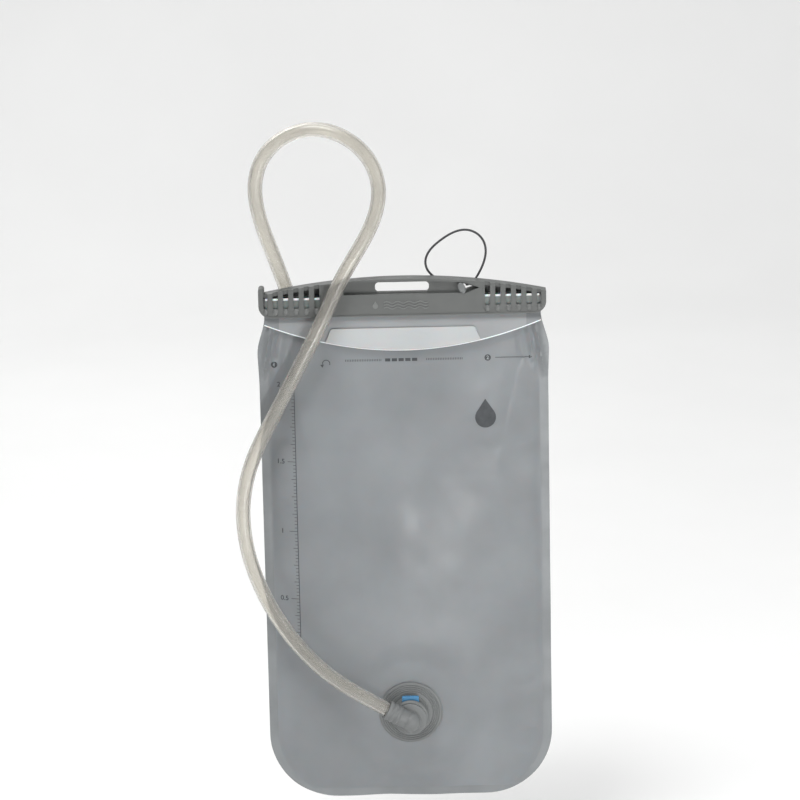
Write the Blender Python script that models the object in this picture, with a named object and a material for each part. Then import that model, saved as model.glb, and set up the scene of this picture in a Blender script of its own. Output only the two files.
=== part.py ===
"""Hydration bladder: a fold-top water bag with a slide closure, a quick-connect port and a drinking hose.

Metres, +Z up. The bag hangs with its front towards -Y. The origin is the middle of the upper face of
the hang slot, which the bladder hangs from. Each object is one separate piece.
"""

import math

import bmesh
import bpy
import numpy as np
from mathutils import Matrix, Vector

MM = 0.001
GAP = 0.3 * MM  # left between pieces that touch

# slide closure
CLOSURE_HALF = 93.5 * MM
CLOSURE_TOP = 2.8 * MM  # above the hang slot's upper face, at the middle
CLOSURE_DROP = 10 * MM  # how far the arched top falls towards each end
CLOSURE_BOTTOM = -21.8 * MM
CLOSURE_DEPTH = 10 * MM
CLOSURE_CORNER = 8 * MM
CLOSURE_WALL = 1.4 * MM
CLOSURE_END_WALL = 2 * MM
WEB_DEPTH = 3.5 * MM  # the thin part round the hang slot
RIM = 1.4 * MM  # the flange left above the recess
STEP_Z = -7.3 * MM  # where the recess ends and the channel begins
CHANNEL_TOP = -8.7 * MM
CHANNEL_LIP_Z = -19.6 * MM
CHANNEL_SLOT_HALF = 2.45 * MM
SLOT_HALF = 17.5 * MM
SLOT_HEIGHT = 6.7 * MM
SLOT_CORNER = 2.4 * MM
FRONT_RECESS = (-38 * MM, 42 * MM)
RECESS_TIP = 50 * MM  # the front recess runs out to a point past the toggle's hole
BACK_RECESS = (-48 * MM, 50 * MM)
POCKET_START = 52 * MM  # the ends are hollow from here outwards
POCKET_FLOOR = -11 * MM  # the pockets run on into the channel below
POCKET_ROOF = 2.6 * MM
WINDOW_FIRST = 55.4 * MM
WINDOW_PITCH = 6.75 * MM
WINDOW_WIDTH = 3.4 * MM
WINDOW_COUNT = 6
WINDOW_BOTTOM = -18.9 * MM
LAST_WINDOW_PITCH = 6.4 * MM
LAST_WINDOW_WIDTH = 2.6 * MM
POST_WIDTH = 3.8 * MM  # the thumb post that stands up at the closed end
POST_TOP = -2.2 * MM
POST_FOOT = -14 * MM
POST_CORNER = 1.6 * MM
TOGGLE_X = 38.8 * MM
TOGGLE_Z = -4 * MM
TOGGLE_HOLE_R = 2.4 * MM
TOGGLE_HOLE_TIP = 47 * MM

# bag films
FILM = 0.8 * MM
FILM_PITCH = FILM + GAP
BAG_PLANE = FILM_PITCH  # Y of the plane that the two films meet in
MOUTH_HALF = 90 * MM
BAG_HALF = 94.5 * MM
SHOULDER_HALF = 95.2 * MM
SHOULDER_RISE = 25 * MM  # from the closure down to the shoulders
SHOULDER_FADE = 20 * MM  # from the shoulders down to the straight sides
BAG_BOTTOM = -355 * MM
BAG_CORNER = 45 * MM
SEAM = 6 * MM
BELLY = 14 * MM  # how far each film stands off the seam's plane at the fullest place
BELLY_RISE = 95 * MM  # how far above the bottom seam it is full
BELLY_DROP = 150 * MM  # how far below the closure it is full
FOLD_Z = -11.5 * MM
FLAP_EDGE = -27.2 * MM  # the folded flap's edge at its two ends
FLAP_SAG = 18.2 * MM  # how much lower the flap's edge is at the middle
TAB = 0.6 * MM
TAB_HALF = 47.6 * MM
TAB_SLANT = 3 * MM  # how much wider a tab is at its lower edge, on each side
TAB_TOP = -30 * MM
TAB_ROOM = 1.2 * MM  # the flap stands off this much to make room for the inner tab
TAB_EDGE = 0.8 * MM  # how far a tab's lower edge stays above the flap's
TAB_SLACK = 0.15 * MM  # the inner tab's further gap to the flap
RAIL_HALF = 89 * MM
RAIL_Z = (-19.2 * MM, -9.2 * MM)

# port, in the middle of the bag's front near its bottom, with its axis along -Y
PORT_Z = -292 * MM
PORT_BELLY = 11.5 * MM
PORT_LAND = 33 * MM  # radius of the flat place round the port
PORT_FADE = 50 * MM
PORT_HOLE_R = 10 * MM
PORT_FACE = FILM_PITCH / 2 - PORT_BELLY - FILM / 2  # Y of the film's outer face there
ELBOW_OUT = 20 * MM  # from that face to the middle of the elbow
ELBOW_ANGLE = math.radians(150)
ELBOW_REACH = 18 * MM
KNUCKLE_R = 6.9 * MM

# hose and the pieces on it
HOSE_R = 4.75 * MM
HOSE_SPACING = 24 * MM  # between the points of the hose's line
TETHER_R = 0.75 * MM
TETHER_SPACING = 4 * MM

# the hose's route from the elbow, over the closure and down behind the bag, in millimetres
HOSE_ROUTE = [
    (-15.9, -31.4, -282.8), (-32.0, -30.8, -273.4), (-53.0, -28.0, -259.5), (-74.0, -23.5, -239.0),
    (-92.5, -18.0, -211.0), (-104.5, -13.5, -179.0), (-107.2, -11.2, -148.0), (-100.5, -10.6, -117.0),
    (-87.0, -11.0, -89.0), (-69.8, -12.0, -56.2), (-52.6, -11.6, -23.4), (-36.8, -10.6, 9.0),
    (-17.9, -9.6, 42.5), (-13.8, -6.8, 61.1), (-18.7, -3.4, 79.9), (-31.9, -0.4, 93.8),
    (-53.0, 4.2, 100.6), (-73.8, 7.6, 95.4), (-88.6, 9.8, 80.8), (-94.0, 11.8, 61.0),
    (-91.4, 12.8, 40.6), (-84.4, 12.8, 19.0), (-76.2, 13.0, -5.0), (-68.4, 13.4, -32.0),
    (-62.2, 14.6, -66.0), (-59.2, 16.2, -103.0), (-60.4, 17.2, -141.0), (-64.5, 17.8, -177.0),
    (-69.6, 18.3, -211.0), (-74.1, 18.9, -243.0), (-76.0, 19.3, -262.0), (-76.5, 19.5, -275.0),
]

# the tether's route, from one side of the toggle's knob round to the other, in millimetres
TETHER_ROUTE = [
    (41.6, 3.7, -4.0), (44.6, 4.7, -3.6), (48.0, 6.3, -0.6), (50.8, 6.4, 4.0),
    (53.6, 6.2, 10.5), (54.9, 6.0, 17.5), (53.6, 5.9, 24.2), (48.8, 5.9, 29.8),
    (41.3, 5.9, 32.1), (32.6, 5.9, 29.8), (24.8, 6.0, 24.8), (18.4, 6.2, 18.6),
    (15.6, 6.4, 11.6), (17.2, 6.5, 5.2), (21.8, 6.3, 0.4), (26.8, 5.0, -3.2),
    (31.6, 4.0, -4.2), (36.0, 3.7, -4.0),
]


def clear_scene():
    for item in list(bpy.data.objects):
        bpy.data.objects.remove(item, do_unlink=True)


def make_material(name, color, roughness, alpha=1.0):
    material = bpy.data.materials.new(name)
    material.use_nodes = True
    shader = material.node_tree.nodes["Principled BSDF"]
    shader.inputs["Base Color"].default_value = (*color, 1.0)
    shader.inputs["Roughness"].default_value = roughness
    shader.inputs["Metallic"].default_value = 0.0
    shader.inputs["Alpha"].default_value = alpha
    return material


def make_object(name, mesh, material=None):
    item = bpy.data.objects.new(name, mesh)
    bpy.context.collection.objects.link(item)
    if material:
        mesh.materials.append(material)
    return item


def mesh_from(name, points, faces):
    """A mesh of these points and faces, shaded smooth, with its faces pointing out."""
    mesh = bpy.data.meshes.new(name)
    mesh.from_pydata([tuple(p) for p in points], [], faces)
    work = bmesh.new()
    work.from_mesh(mesh)
    bmesh.ops.recalc_face_normals(work, faces=work.faces)
    work.to_mesh(mesh)
    work.free()
    mesh.shade_smooth()
    mesh.set_sharp_from_angle(angle=math.radians(35))
    return mesh


def box_mesh(name, low, high):
    corners = [(x, y, z) for x in (low[0], high[0]) for y in (low[1], high[1]) for z in (low[2], high[2])]
    faces = [(0, 1, 3, 2), (4, 6, 7, 5), (0, 4, 5, 1), (2, 3, 7, 6), (0, 2, 6, 4), (1, 5, 7, 3)]
    return mesh_from(name, corners, faces)


def prism_mesh(name, outline, low_y, high_y):
    """An outline of (x, z) points, extruded along Y."""
    count = len(outline)
    points = [(x, y, z) for y in (low_y, high_y) for x, z in outline]
    faces = [tuple(range(count)), tuple(range(2 * count - 1, count - 1, -1))]
    faces += [(i, (i + 1) % count, count + (i + 1) % count, count + i) for i in range(count)]
    return mesh_from(name, points, faces)


def turned_mesh(name, profile, segments=24):
    """A closed profile of (radius, height) points turned about Z. A point of radius 0 is on the axis."""
    points = []
    rings = []
    for radius, height in profile:
        if radius == 0:
            rings.append([len(points)] * segments)
            points.append((0, 0, height))
            continue
        rings.append(list(range(len(points), len(points) + segments)))
        for i in range(segments):
            angle = 2 * math.pi * i / segments
            points.append((radius * math.cos(angle), radius * math.sin(angle), height))
    faces = []
    open_ended = profile[0][0] == 0 and profile[-1][0] == 0
    pairs = list(zip(rings, rings[1:])) + ([] if open_ended else [(rings[-1], rings[0])])
    for lower, upper in pairs:
        for i in range(segments):
            j = (i + 1) % segments
            corners = [lower[i], lower[j], upper[j], upper[i]]
            faces.append(tuple(dict.fromkeys(corners)))
    return mesh_from(name, points, faces)


def ring_mesh(name, radius, thickness, segments=24, sides=8):
    """A round seal: a circle of this thickness turned about Z."""
    profile = [
        (radius + thickness / 2 * math.cos(a), thickness / 2 * math.sin(a))
        for a in (2 * math.pi * i / sides for i in range(sides))
    ]
    return turned_mesh(name, profile, segments)


def sheet_object(name, rows, thickness, material):
    """A thin sheet over a grid of points, given row by row."""
    columns = len(rows[0])
    points = [p for row in rows for p in row]
    faces = []
    for r in range(len(rows) - 1):
        for c in range(columns - 1):
            a = r * columns + c
            faces.append((a, a + 1, a + columns + 1, a + columns))
    item = make_object(name, mesh_from(name, points, faces), material)
    solid = item.modifiers.new("thickness", "SOLIDIFY")
    solid.thickness = thickness
    solid.offset = 0
    solid.use_even_offset = True
    return item


def cut(item, cutter_mesh):
    """Cuts the cutter's shape out of an object."""
    combine(item, cutter_mesh, "DIFFERENCE")


def join(item, other_mesh):
    """Adds another closed shape to an object."""
    combine(item, other_mesh, "UNION")


def combine(item, other_mesh, operation):
    other = make_object(other_mesh.name, other_mesh)
    other.matrix_world = item.matrix_world
    other.hide_render = True
    other.display_type = "WIRE"
    step = item.modifiers.new(other_mesh.name, "BOOLEAN")
    step.operation = operation
    step.solver = "EXACT"
    step.object = other


def smooth_route(route_mm, spacing):
    """Points about this far apart on the natural cubic spline through a route's points."""
    points = np.array(route_mm) * MM
    steps = np.linalg.norm(np.diff(points, axis=0), axis=1)
    count = len(points)
    matrix = np.eye(count)
    right = np.zeros((count, 3))
    for i in range(1, count - 1):
        matrix[i, i - 1 : i + 2] = steps[i - 1], 2 * (steps[i - 1] + steps[i]), steps[i]
        ahead = (points[i + 1] - points[i]) / steps[i]
        behind = (points[i] - points[i - 1]) / steps[i - 1]
        right[i] = 6 * (ahead - behind)
    bend = np.linalg.solve(matrix, right)
    fine = []
    for i, step in enumerate(steps):
        for t in np.linspace(0, 1, 24, endpoint=False):
            a, b = 1 - t, t
            curve = ((a**3 - a) * bend[i] + (b**3 - b) * bend[i + 1]) * step**2 / 6
            fine.append(a * points[i] + b * points[i + 1] + curve)
    fine = np.array(fine + [points[-1]])
    along = np.concatenate([[0], np.cumsum(np.linalg.norm(np.diff(fine, axis=0), axis=1))])
    stops = np.linspace(0, along[-1], max(2, round(along[-1] / spacing) + 1))
    return np.stack([np.interp(stops, along, fine[:, k]) for k in range(3)], axis=1)


def tube_object(name, points, radius, material):
    curve = bpy.data.curves.new(name, "CURVE")
    curve.dimensions = "3D"
    curve.bevel_depth = radius
    curve.bevel_resolution = 2
    curve.use_fill_caps = True
    spline = curve.splines.new("POLY")
    spline.points.add(len(points) - 1)
    for target, point in zip(spline.points, points):
        target.co = (*point, 1.0)
    curve.materials.append(material)
    item = bpy.data.objects.new(name, curve)
    bpy.context.collection.objects.link(item)
    return item


# ---- slide closure ----


def closure_top(x):
    return CLOSURE_TOP - CLOSURE_DROP * (x / CLOSURE_HALF) ** 2


def arc_points(center_x, center_z, radius, start, end, count=6):
    angles = [math.radians(start + (end - start) * i / count) for i in range(count + 1)]
    return [(center_x + radius * math.cos(a), center_z + radius * math.sin(a)) for a in angles]


def closure_outline():
    top = [i * CLOSURE_HALF / 12 for i in range(-12, 13)]
    outline = [(x, closure_top(x)) for x in top]
    inner = CLOSURE_HALF - CLOSURE_CORNER
    height = CLOSURE_BOTTOM + CLOSURE_CORNER
    outline += arc_points(inner, height, CLOSURE_CORNER, 0, -90)
    outline += arc_points(-inner, height, CLOSURE_CORNER, -90, -180)
    return outline


def under_arch(start_x, end_x, bottom, margin):
    """The (x, z) outline between two places, from bottom up to a margin under the arched top."""
    steps = [start_x + (end_x - start_x) * i / 6 for i in range(7)]
    return [(x, closure_top(x) - margin) for x in steps] + [(end_x, bottom), (start_x, bottom)]


def front_recess_outline():
    outline = under_arch(*FRONT_RECESS, STEP_Z, RIM)
    outline.insert(-2, (RECESS_TIP, TOGGLE_Z))
    return outline


def post_outline():
    left, right = -CLOSURE_HALF, -CLOSURE_HALF + POST_WIDTH
    height = POST_TOP - POST_CORNER
    outline = [(right, POST_FOOT)] + arc_points(right - POST_CORNER, height, POST_CORNER, 0, 90)
    return outline + arc_points(left + POST_CORNER, height, POST_CORNER, 90, 180) + [(left, POST_FOOT)]


def window_places():
    """The middle and width of each grip window at the right end. The last is narrower."""
    places = [(WINDOW_FIRST + i * WINDOW_PITCH, WINDOW_WIDTH) for i in range(WINDOW_COUNT - 1)]
    return places + [(places[-1][0] + LAST_WINDOW_PITCH, LAST_WINDOW_WIDTH)]


def slot_outline():
    x = SLOT_HALF - SLOT_CORNER
    top, bottom = -SLOT_CORNER, -SLOT_HEIGHT + SLOT_CORNER
    outline = arc_points(x, top, SLOT_CORNER, 90, 0, 4)
    outline += arc_points(x, bottom, SLOT_CORNER, 0, -90, 4)
    outline += arc_points(-x, bottom, SLOT_CORNER, -90, -180, 4)
    return outline + arc_points(-x, top, SLOT_CORNER, 180, 90, 4)


def toggle_hole_outline():
    """A teardrop: round at the toggle, pointed away from it."""
    reach = TOGGLE_HOLE_TIP - TOGGLE_X
    touch = math.degrees(math.acos(TOGGLE_HOLE_R / reach))
    outline = arc_points(TOGGLE_X, TOGGLE_Z, TOGGLE_HOLE_R, touch, 360 - touch, 12)
    return outline + [(TOGGLE_HOLE_TIP, TOGGLE_Z)]


def make_slide_closure(material):
    half_depth = CLOSURE_DEPTH / 2
    past = half_depth + 1 * MM
    hollow = half_depth - CLOSURE_WALL
    inner_end = CLOSURE_HALF - CLOSURE_END_WALL
    closure = make_object(
        "slide_closure", prism_mesh("slide_closure", closure_outline(), -half_depth, half_depth), material
    )
    join(closure, prism_mesh("post", post_outline(), -half_depth, half_depth))
    channel = box_mesh(
        "channel", (-inner_end, -hollow, CHANNEL_LIP_Z), (CLOSURE_HALF + MM, hollow, CHANNEL_TOP)
    )
    cut(closure, channel)
    lip_gap = box_mesh(
        "lip_gap",
        (-inner_end, -CHANNEL_SLOT_HALF, CLOSURE_BOTTOM - MM),
        (CLOSURE_HALF + MM, CHANNEL_SLOT_HALF, CHANNEL_LIP_Z + MM),
    )
    cut(closure, lip_gap)
    for side in (-1, 1):
        start, end = sorted((side * POCKET_START, side * inner_end))
        pocket = under_arch(start, end, POCKET_FLOOR, POCKET_ROOF)
        cut(closure, prism_mesh("pocket", pocket, -hollow, hollow))
        for x, width in window_places():
            # each window is open at its top too
            low = (side * x - width / 2, -past, WINDOW_BOTTOM)
            cut(closure, box_mesh("window", low, (side * x + width / 2, -hollow + MM, past)))
    cut(closure, prism_mesh("front_recess", front_recess_outline(), -past, -WEB_DEPTH / 2))
    recess = under_arch(*BACK_RECESS, STEP_Z, RIM)
    cut(closure, prism_mesh("back_recess", recess, WEB_DEPTH / 2, past))
    cut(closure, prism_mesh("hang_slot", slot_outline(), -WEB_DEPTH, WEB_DEPTH))
    cut(closure, prism_mesh("toggle_hole", toggle_hole_outline(), -WEB_DEPTH, WEB_DEPTH))


def make_tether(plastic, cord):
    """The toggle turns through the teardrop hole and holds both ends of the tether."""
    head = WEB_DEPTH / 2 + GAP
    profile = [
        (0, -6.6 * MM), (2.6 * MM, -6.5 * MM), (3.7 * MM, -6.0 * MM), (3.8 * MM, -5.3 * MM),
        (1.6 * MM, -5.3 * MM), (1.6 * MM, -2.7 * MM), (2.7 * MM, -2.7 * MM),
        (2.7 * MM, -head), (1.3 * MM, -head), (1.3 * MM, head), (2.1 * MM, head),
        (2.3 * MM, 3.2 * MM), (2.1 * MM, 4.6 * MM), (0, 4.9 * MM),
    ]
    mesh = turned_mesh("tether_toggle", profile, 16)
    # turned about Y, narrowed to a lozenge and tilted in its hole
    mesh.transform(Matrix.Diagonal((0.62, 1, 1, 1)))
    mesh.transform(Matrix.Rotation(math.radians(-90), 4, "X"))
    mesh.transform(Matrix.Rotation(math.radians(-25), 4, "Y"))
    toggle = make_object("tether_toggle", mesh, plastic)
    toggle.location = (TOGGLE_X, 0, TOGGLE_Z)
    tube_object("tether_loop", smooth_route(TETHER_ROUTE, TETHER_SPACING), TETHER_R, cord)


# ---- bag ----


def ease(value):
    value = min(max(value, 0.0), 1.0)
    return value * value * (3 - 2 * value)


def bag_half_width(z):
    """Half the bag's width: narrow in the closure, widest at the shoulders, round at the bottom."""
    shoulder_z = CLOSURE_BOTTOM - SHOULDER_RISE
    if z > shoulder_z:
        return MOUTH_HALF + (SHOULDER_HALF - MOUTH_HALF) * ease((CLOSURE_BOTTOM - z) / SHOULDER_RISE)
    if z > BAG_BOTTOM + BAG_CORNER:
        return BAG_HALF + (SHOULDER_HALF - BAG_HALF) * ease(1 - (shoulder_z - z) / SHOULDER_FADE)
    fall = BAG_BOTTOM + BAG_CORNER - z
    return BAG_HALF - BAG_CORNER + math.sqrt(max(BAG_CORNER**2 - fall**2, 0))


def belly(x, z):
    """How far each film stands off the plane of the seam."""
    inner = bag_half_width(z) - SEAM
    rise = (z - BAG_BOTTOM - SEAM) / BELLY_RISE
    if abs(x) >= inner or rise <= 0:
        return 0.0
    across = (1 - (abs(x) / inner) ** 2.2) ** 0.9
    down = ease((CLOSURE_BOTTOM - z) / BELLY_DROP)
    up = 1 - (1 - min(rise, 1)) ** 2.5
    plain = BELLY * across * down * up
    away = math.hypot(x, z - PORT_Z)
    return plain + (PORT_BELLY - plain) * ease((PORT_FADE - away) / (PORT_FADE - PORT_LAND))


def flap_edge(x):
    return FLAP_EDGE - FLAP_SAG * (1 - (x / MOUTH_HALF) ** 2)


def flap_y(x, z, pitches):
    """Y of a layer of the folded flap, counted in film pitches in front of the fold's middle."""
    room = TAB_ROOM * ease((CLOSURE_BOTTOM - z) / (5 * MM))
    return -pitches * FILM_PITCH - belly(x, z) - room


# the films' grid: columns as shares of the half width, and the heights of the main rows in millimetres
COLUMNS = (-1, -0.936, -0.8, -0.6, -0.4, -0.24, 0, 0.24, 0.4, 0.6, 0.8, 0.936, 1)
MAIN_ROWS = (
    -355, -349, -341, -329, -314, -292, -270, -250, -228, -200, -170, -140, -112, -86, -64, -46, -33,
    -21.8, -16, -11.5,
)


def film_rows(front):
    """The film's middle surface: up the bag, round the fold in the closure and down the flap."""
    radius = (0.5 if front else 1.5) * FILM_PITCH
    out = -1 if front else 1
    rows = []
    for z in (z * MM for z in MAIN_ROWS):
        half = bag_half_width(z)
        rows.append([(u * half, radius + out * belly(u * half, z), z) for u in COLUMNS])
    for i in range(1, 6):
        angle = math.pi * i / 6
        y, z = radius * math.cos(angle), FOLD_Z + radius * math.sin(angle)
        rows.append([(u * MOUTH_HALF, y, z) for u in COLUMNS])
    for z in (FOLD_Z, (FOLD_Z + CLOSURE_BOTTOM) / 2, CLOSURE_BOTTOM):
        rows.append([(u * MOUTH_HALF, -radius, z) for u in COLUMNS])
    for share in (0.3, 0.65, 1):
        row = []
        for x in (u * MOUTH_HALF for u in COLUMNS):
            z = CLOSURE_BOTTOM + share * (flap_edge(x) - CLOSURE_BOTTOM)
            row.append((x, flap_y(x, z, radius / FILM_PITCH), z))
        rows.append(row)
    return rows


def make_films(material):
    front = sheet_object("front_film", film_rows(True), FILM, material)
    hole = turned_mesh("port_hole", [(0, -6 * MM), (PORT_HOLE_R, -6 * MM), (PORT_HOLE_R, 6 * MM), (0, 6 * MM)])
    hole.transform(port_frame())
    cut(front, hole)
    sheet_object("back_film", film_rows(False), FILM, material)


def make_rails(material):
    """Stiff rails welded to the fold, one each side, which the closure's lips hook under."""
    inner = 1.5 * FILM_PITCH + FILM / 2 + GAP
    outer = CLOSURE_DEPTH / 2 - CLOSURE_WALL - GAP
    for name, side in (("front_seal_rail", -1), ("back_seal_rail", 1)):
        low_y, high_y = sorted((side * inner, side * outer))
        mesh = box_mesh(name, (-RAIL_HALF, low_y, RAIL_Z[0]), (RAIL_HALF, high_y, RAIL_Z[1]))
        make_object(name, mesh, material)


def make_mouth_tabs(material):
    """Stiff strips along the mouth's two edges, one on each film of the folded flap."""
    outer = 1.5 + (FILM / 2 + GAP + TAB / 2) / FILM_PITCH
    inner = 0.5 - (FILM / 2 + GAP + TAB / 2 + TAB_SLACK) / FILM_PITCH
    for name, pitches in (("outer_mouth_tab", outer), ("inner_mouth_tab", inner)):
        rows = []
        for share in (0, 0.35, 0.7, 1):
            row = []
            for x in ((TAB_HALF + TAB_SLANT * share) * i / 5 for i in range(-5, 6)):
                z = TAB_TOP + share * (flap_edge(x) + TAB_EDGE - TAB_TOP)
                row.append((x, flap_y(x, z, pitches), z))
            rows.append(row)
        sheet_object(name, rows, TAB, material)


# ---- port: heights are along its axis, outwards from the film's outer face ----


def port_frame():
    return Matrix.Translation((0, PORT_FACE, PORT_Z)) @ Matrix.Rotation(math.radians(90), 4, "X")


def port_object(name, mesh, material):
    item = make_object(name, mesh, material)
    item.matrix_world = port_frame()
    return item


def port_turned(name, profile_mm, material, segments=32):
    profile = [(r * MM, h * MM) for r, h in profile_mm]
    return port_object(name, turned_mesh(name, profile, segments), material)


def make_port_flange(material):
    """A welding disc with a short barrel that reaches into the bag, and the valve's seat in it."""
    profile = [
        (21, 0.3), (21, 1.3), (20.4, 1.5), (4.4, 1.5), (4.4, -0.6), (7.3, -0.6), (7.3, -13), (9.6, -13),
        (9.6, 0.3),
    ]
    port_turned("port_flange", profile, material)


def make_poppet(plastic, rubber, steel):
    """The self-closing valve: a poppet with its seal, its spring and the spring's retainer."""
    profile = [(0, -3.5), (6.2, -3.5), (6.2, -1.9), (1.4, -1.9), (1.4, 2.4), (1.1, 2.6), (0, 2.6)]
    port_turned("poppet", profile, plastic, 20)
    seal = port_object("poppet_seal", ring_mesh("poppet_seal", 5.4 * MM, 0.7 * MM, 20, 6), rubber)
    seal.matrix_world = port_frame() @ Matrix.Translation((0, 0, -1.25 * MM))
    retainer = port_turned("spring_retainer", [(0, -12.8), (7, -12.8), (7, -11.3), (0, -11.3)], plastic, 20)
    for i in range(4):
        hole = turned_mesh("retainer_hole", [(0, -14 * MM), (1.9 * MM, -14 * MM), (1.9 * MM, -10 * MM),
                                             (0, -10 * MM)], 10)
        angle = math.pi * (i / 2 + 0.25)
        hole.transform(Matrix.Translation((4 * MM * math.cos(angle), 4 * MM * math.sin(angle), 0)))
        cut(retainer, hole)
    make_spring("poppet_spring", 4.2 * MM, 0.25 * MM, (-10.7 * MM, -4.1 * MM), 4.5, steel)


def make_spring(name, radius, wire, heights, turns, material):
    count = round(turns * 10)
    low, high = heights
    points = []
    for i in range(count + 1):
        angle = 2 * math.pi * turns * i / count
        height = low + (high - low) * i / count
        points.append(Vector((radius * math.cos(angle), radius * math.sin(angle), height)))
    spring = tube_object(name, points, wire, material)
    spring.data.bevel_resolution = 1
    spring.matrix_world = port_frame()


def make_port_housing(material):
    """The socket that the plug pushes into, with a window in its top for the button."""
    profile = [
        (12, 1.8), (12, 11.8), (11.2, 12.8), (7.6, 12.8), (7.6, 2.8), (4.4, 2.8), (4.4, 1.8),
    ]
    housing = port_turned("port_housing", profile, material)
    cut(housing, box_mesh("button_window", (-6 * MM, 5 * MM, 6.4 * MM), (6 * MM, 14 * MM, 9.6 * MM)))


def make_release_button(material):
    low, high = (-5.6 * MM, 8.4 * MM, 6.8 * MM), (5.6 * MM, 14.2 * MM, 9.2 * MM)
    button = port_object("release_button", box_mesh("release_button", low, high), material)
    edge = button.modifiers.new("edge", "BEVEL")
    edge.width = 0.5 * MM
    edge.segments = 2


def make_plug(plastic, rubber):
    """A right-angle elbow: its barrel pushes into the housing and its other end takes the hose."""
    profile = [
        (0, 3.0), (6.0, 3.0), (6.6, 3.6), (6.6, 4.2), (5.4, 4.2), (5.4, 6.2), (6.6, 6.2), (6.6, 9.8),
        (5.4, 9.8), (5.4, 11.8), (6.6, 11.8), (6.6, 13.2), (10.5, 13.2), (10.5, 15), (6.3, 15), (6.3, 20),
        (0, 20),
    ]
    elbow = port_turned("plug_elbow", profile, plastic, 24)
    middle = Matrix.Translation((0, 0, ELBOW_OUT))
    # in the port's frame the hose leaves in the plane across the axis
    aim = Matrix.Rotation(ELBOW_ANGLE, 4, "Z") @ Matrix.Rotation(math.radians(90), 4, "Y")
    knuckle = bpy.data.meshes.new("knuckle")
    work = bmesh.new()
    bmesh.ops.create_uvsphere(work, u_segments=24, v_segments=13, radius=KNUCKLE_R)
    work.to_mesh(knuckle)
    work.free()
    knuckle.transform(middle)
    join(elbow, knuckle)
    start, outlet_r = 0.7 * MM, 6.1 * MM
    outlet = [(0, start), (outlet_r, start), (outlet_r, ELBOW_REACH), (0, ELBOW_REACH)]
    outlet = turned_mesh("outlet", outlet, 22)
    outlet.transform(middle @ aim)
    join(elbow, outlet)
    bore, top = 3.4 * MM, ELBOW_OUT + 1.2 * MM
    way = turned_mesh("barrel_bore", [(0, 2 * MM), (bore, 2 * MM), (bore, top), (0, top)], 14)
    cut(elbow, way)
    bore, reach = 2.8 * MM, ELBOW_REACH + MM
    way = turned_mesh("outlet_bore", [(0, -MM), (bore, -MM), (bore, reach), (0, reach)], 12)
    way.transform(middle @ aim)
    cut(elbow, way)
    for name, height in (("plug_seal_inner", 5.2 * MM), ("plug_seal_outer", 10.8 * MM)):
        seal = port_object(name, ring_mesh(name, 6.4 * MM, 1.3 * MM, 24, 6), rubber)
        seal.matrix_world = port_frame() @ Matrix.Translation((0, 0, height))


# ---- hose and bite valve: heights are along the hose's end, outwards from its end face ----


def valve_frame(hose_points):
    end, before = Vector(hose_points[-1]), Vector(hose_points[-2])
    turn = (end - before).to_track_quat("Z", "Y")
    return Matrix.LocRotScale(end, turn, None)


def valve_turned(name, profile_mm, material, frame, segments=24):
    profile = [(r * MM, h * MM) for r, h in profile_mm]
    item = make_object(name, turned_mesh(name, profile, segments), material)
    item.matrix_world = frame
    return item


def make_bite_valve(plastic, trim, silicone, rubber, frame):
    body = [
        (7, 0.3), (7.6, 1.2), (7.6, 7), (7, 8), (5, 8), (5, 24), (4, 24), (4, 26), (5, 26), (5, 29),
        (2.5, 29), (2.5, 0.3),
    ]
    valve_turned("valve_body", body, plastic, frame)
    seal = make_object("valve_seal", ring_mesh("valve_seal", 4.75 * MM, 0.9 * MM, 24, 6), rubber)
    seal.matrix_world = frame @ Matrix.Translation((0, 0, 25 * MM))
    collar = [
        (9, 8.4), (9.6, 9.4), (9.6, 23), (9, 24), (6.8, 24), (6.8, 33), (5.5, 33), (5.5, 8.4),
    ]
    collar_object = valve_turned("twist_collar", collar, trim, frame)
    for i in range(10):
        angle = 2 * math.pi * i / 10
        groove = turned_mesh("grip_groove", [(0, 10.5 * MM), (0.9 * MM, 10.5 * MM), (0.9 * MM, 22 * MM),
                                             (0, 22 * MM)], 6)
        groove.transform(Matrix.Translation((9.9 * MM * math.cos(angle), 9.9 * MM * math.sin(angle), 0)))
        cut(collar_object, groove)
    sheath = [
        (8.6, 24.4), (9.2, 26), (9.0, 33), (8.0, 40), (7.6, 46), (8.2, 51), (8.0, 54), (6.4, 56), (0, 56.4),
        (0, 52.5), (5.6, 51), (6.0, 44), (7.1, 36), (7.1, 24.4),
    ]
    mesh = turned_mesh("bite_sheath", [(r * MM, h * MM) for r, h in sheath], 24)
    # round where it grips the collar, flatter and wider towards the mouth
    for vertex in mesh.vertices:
        share = ease((vertex.co.z - 34 * MM) / (14 * MM))
        vertex.co.x *= 1 + 0.3 * share
        vertex.co.y *= 1 - 0.25 * share
    item = make_object("bite_sheath", mesh, silicone)
    item.matrix_world = frame


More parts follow.
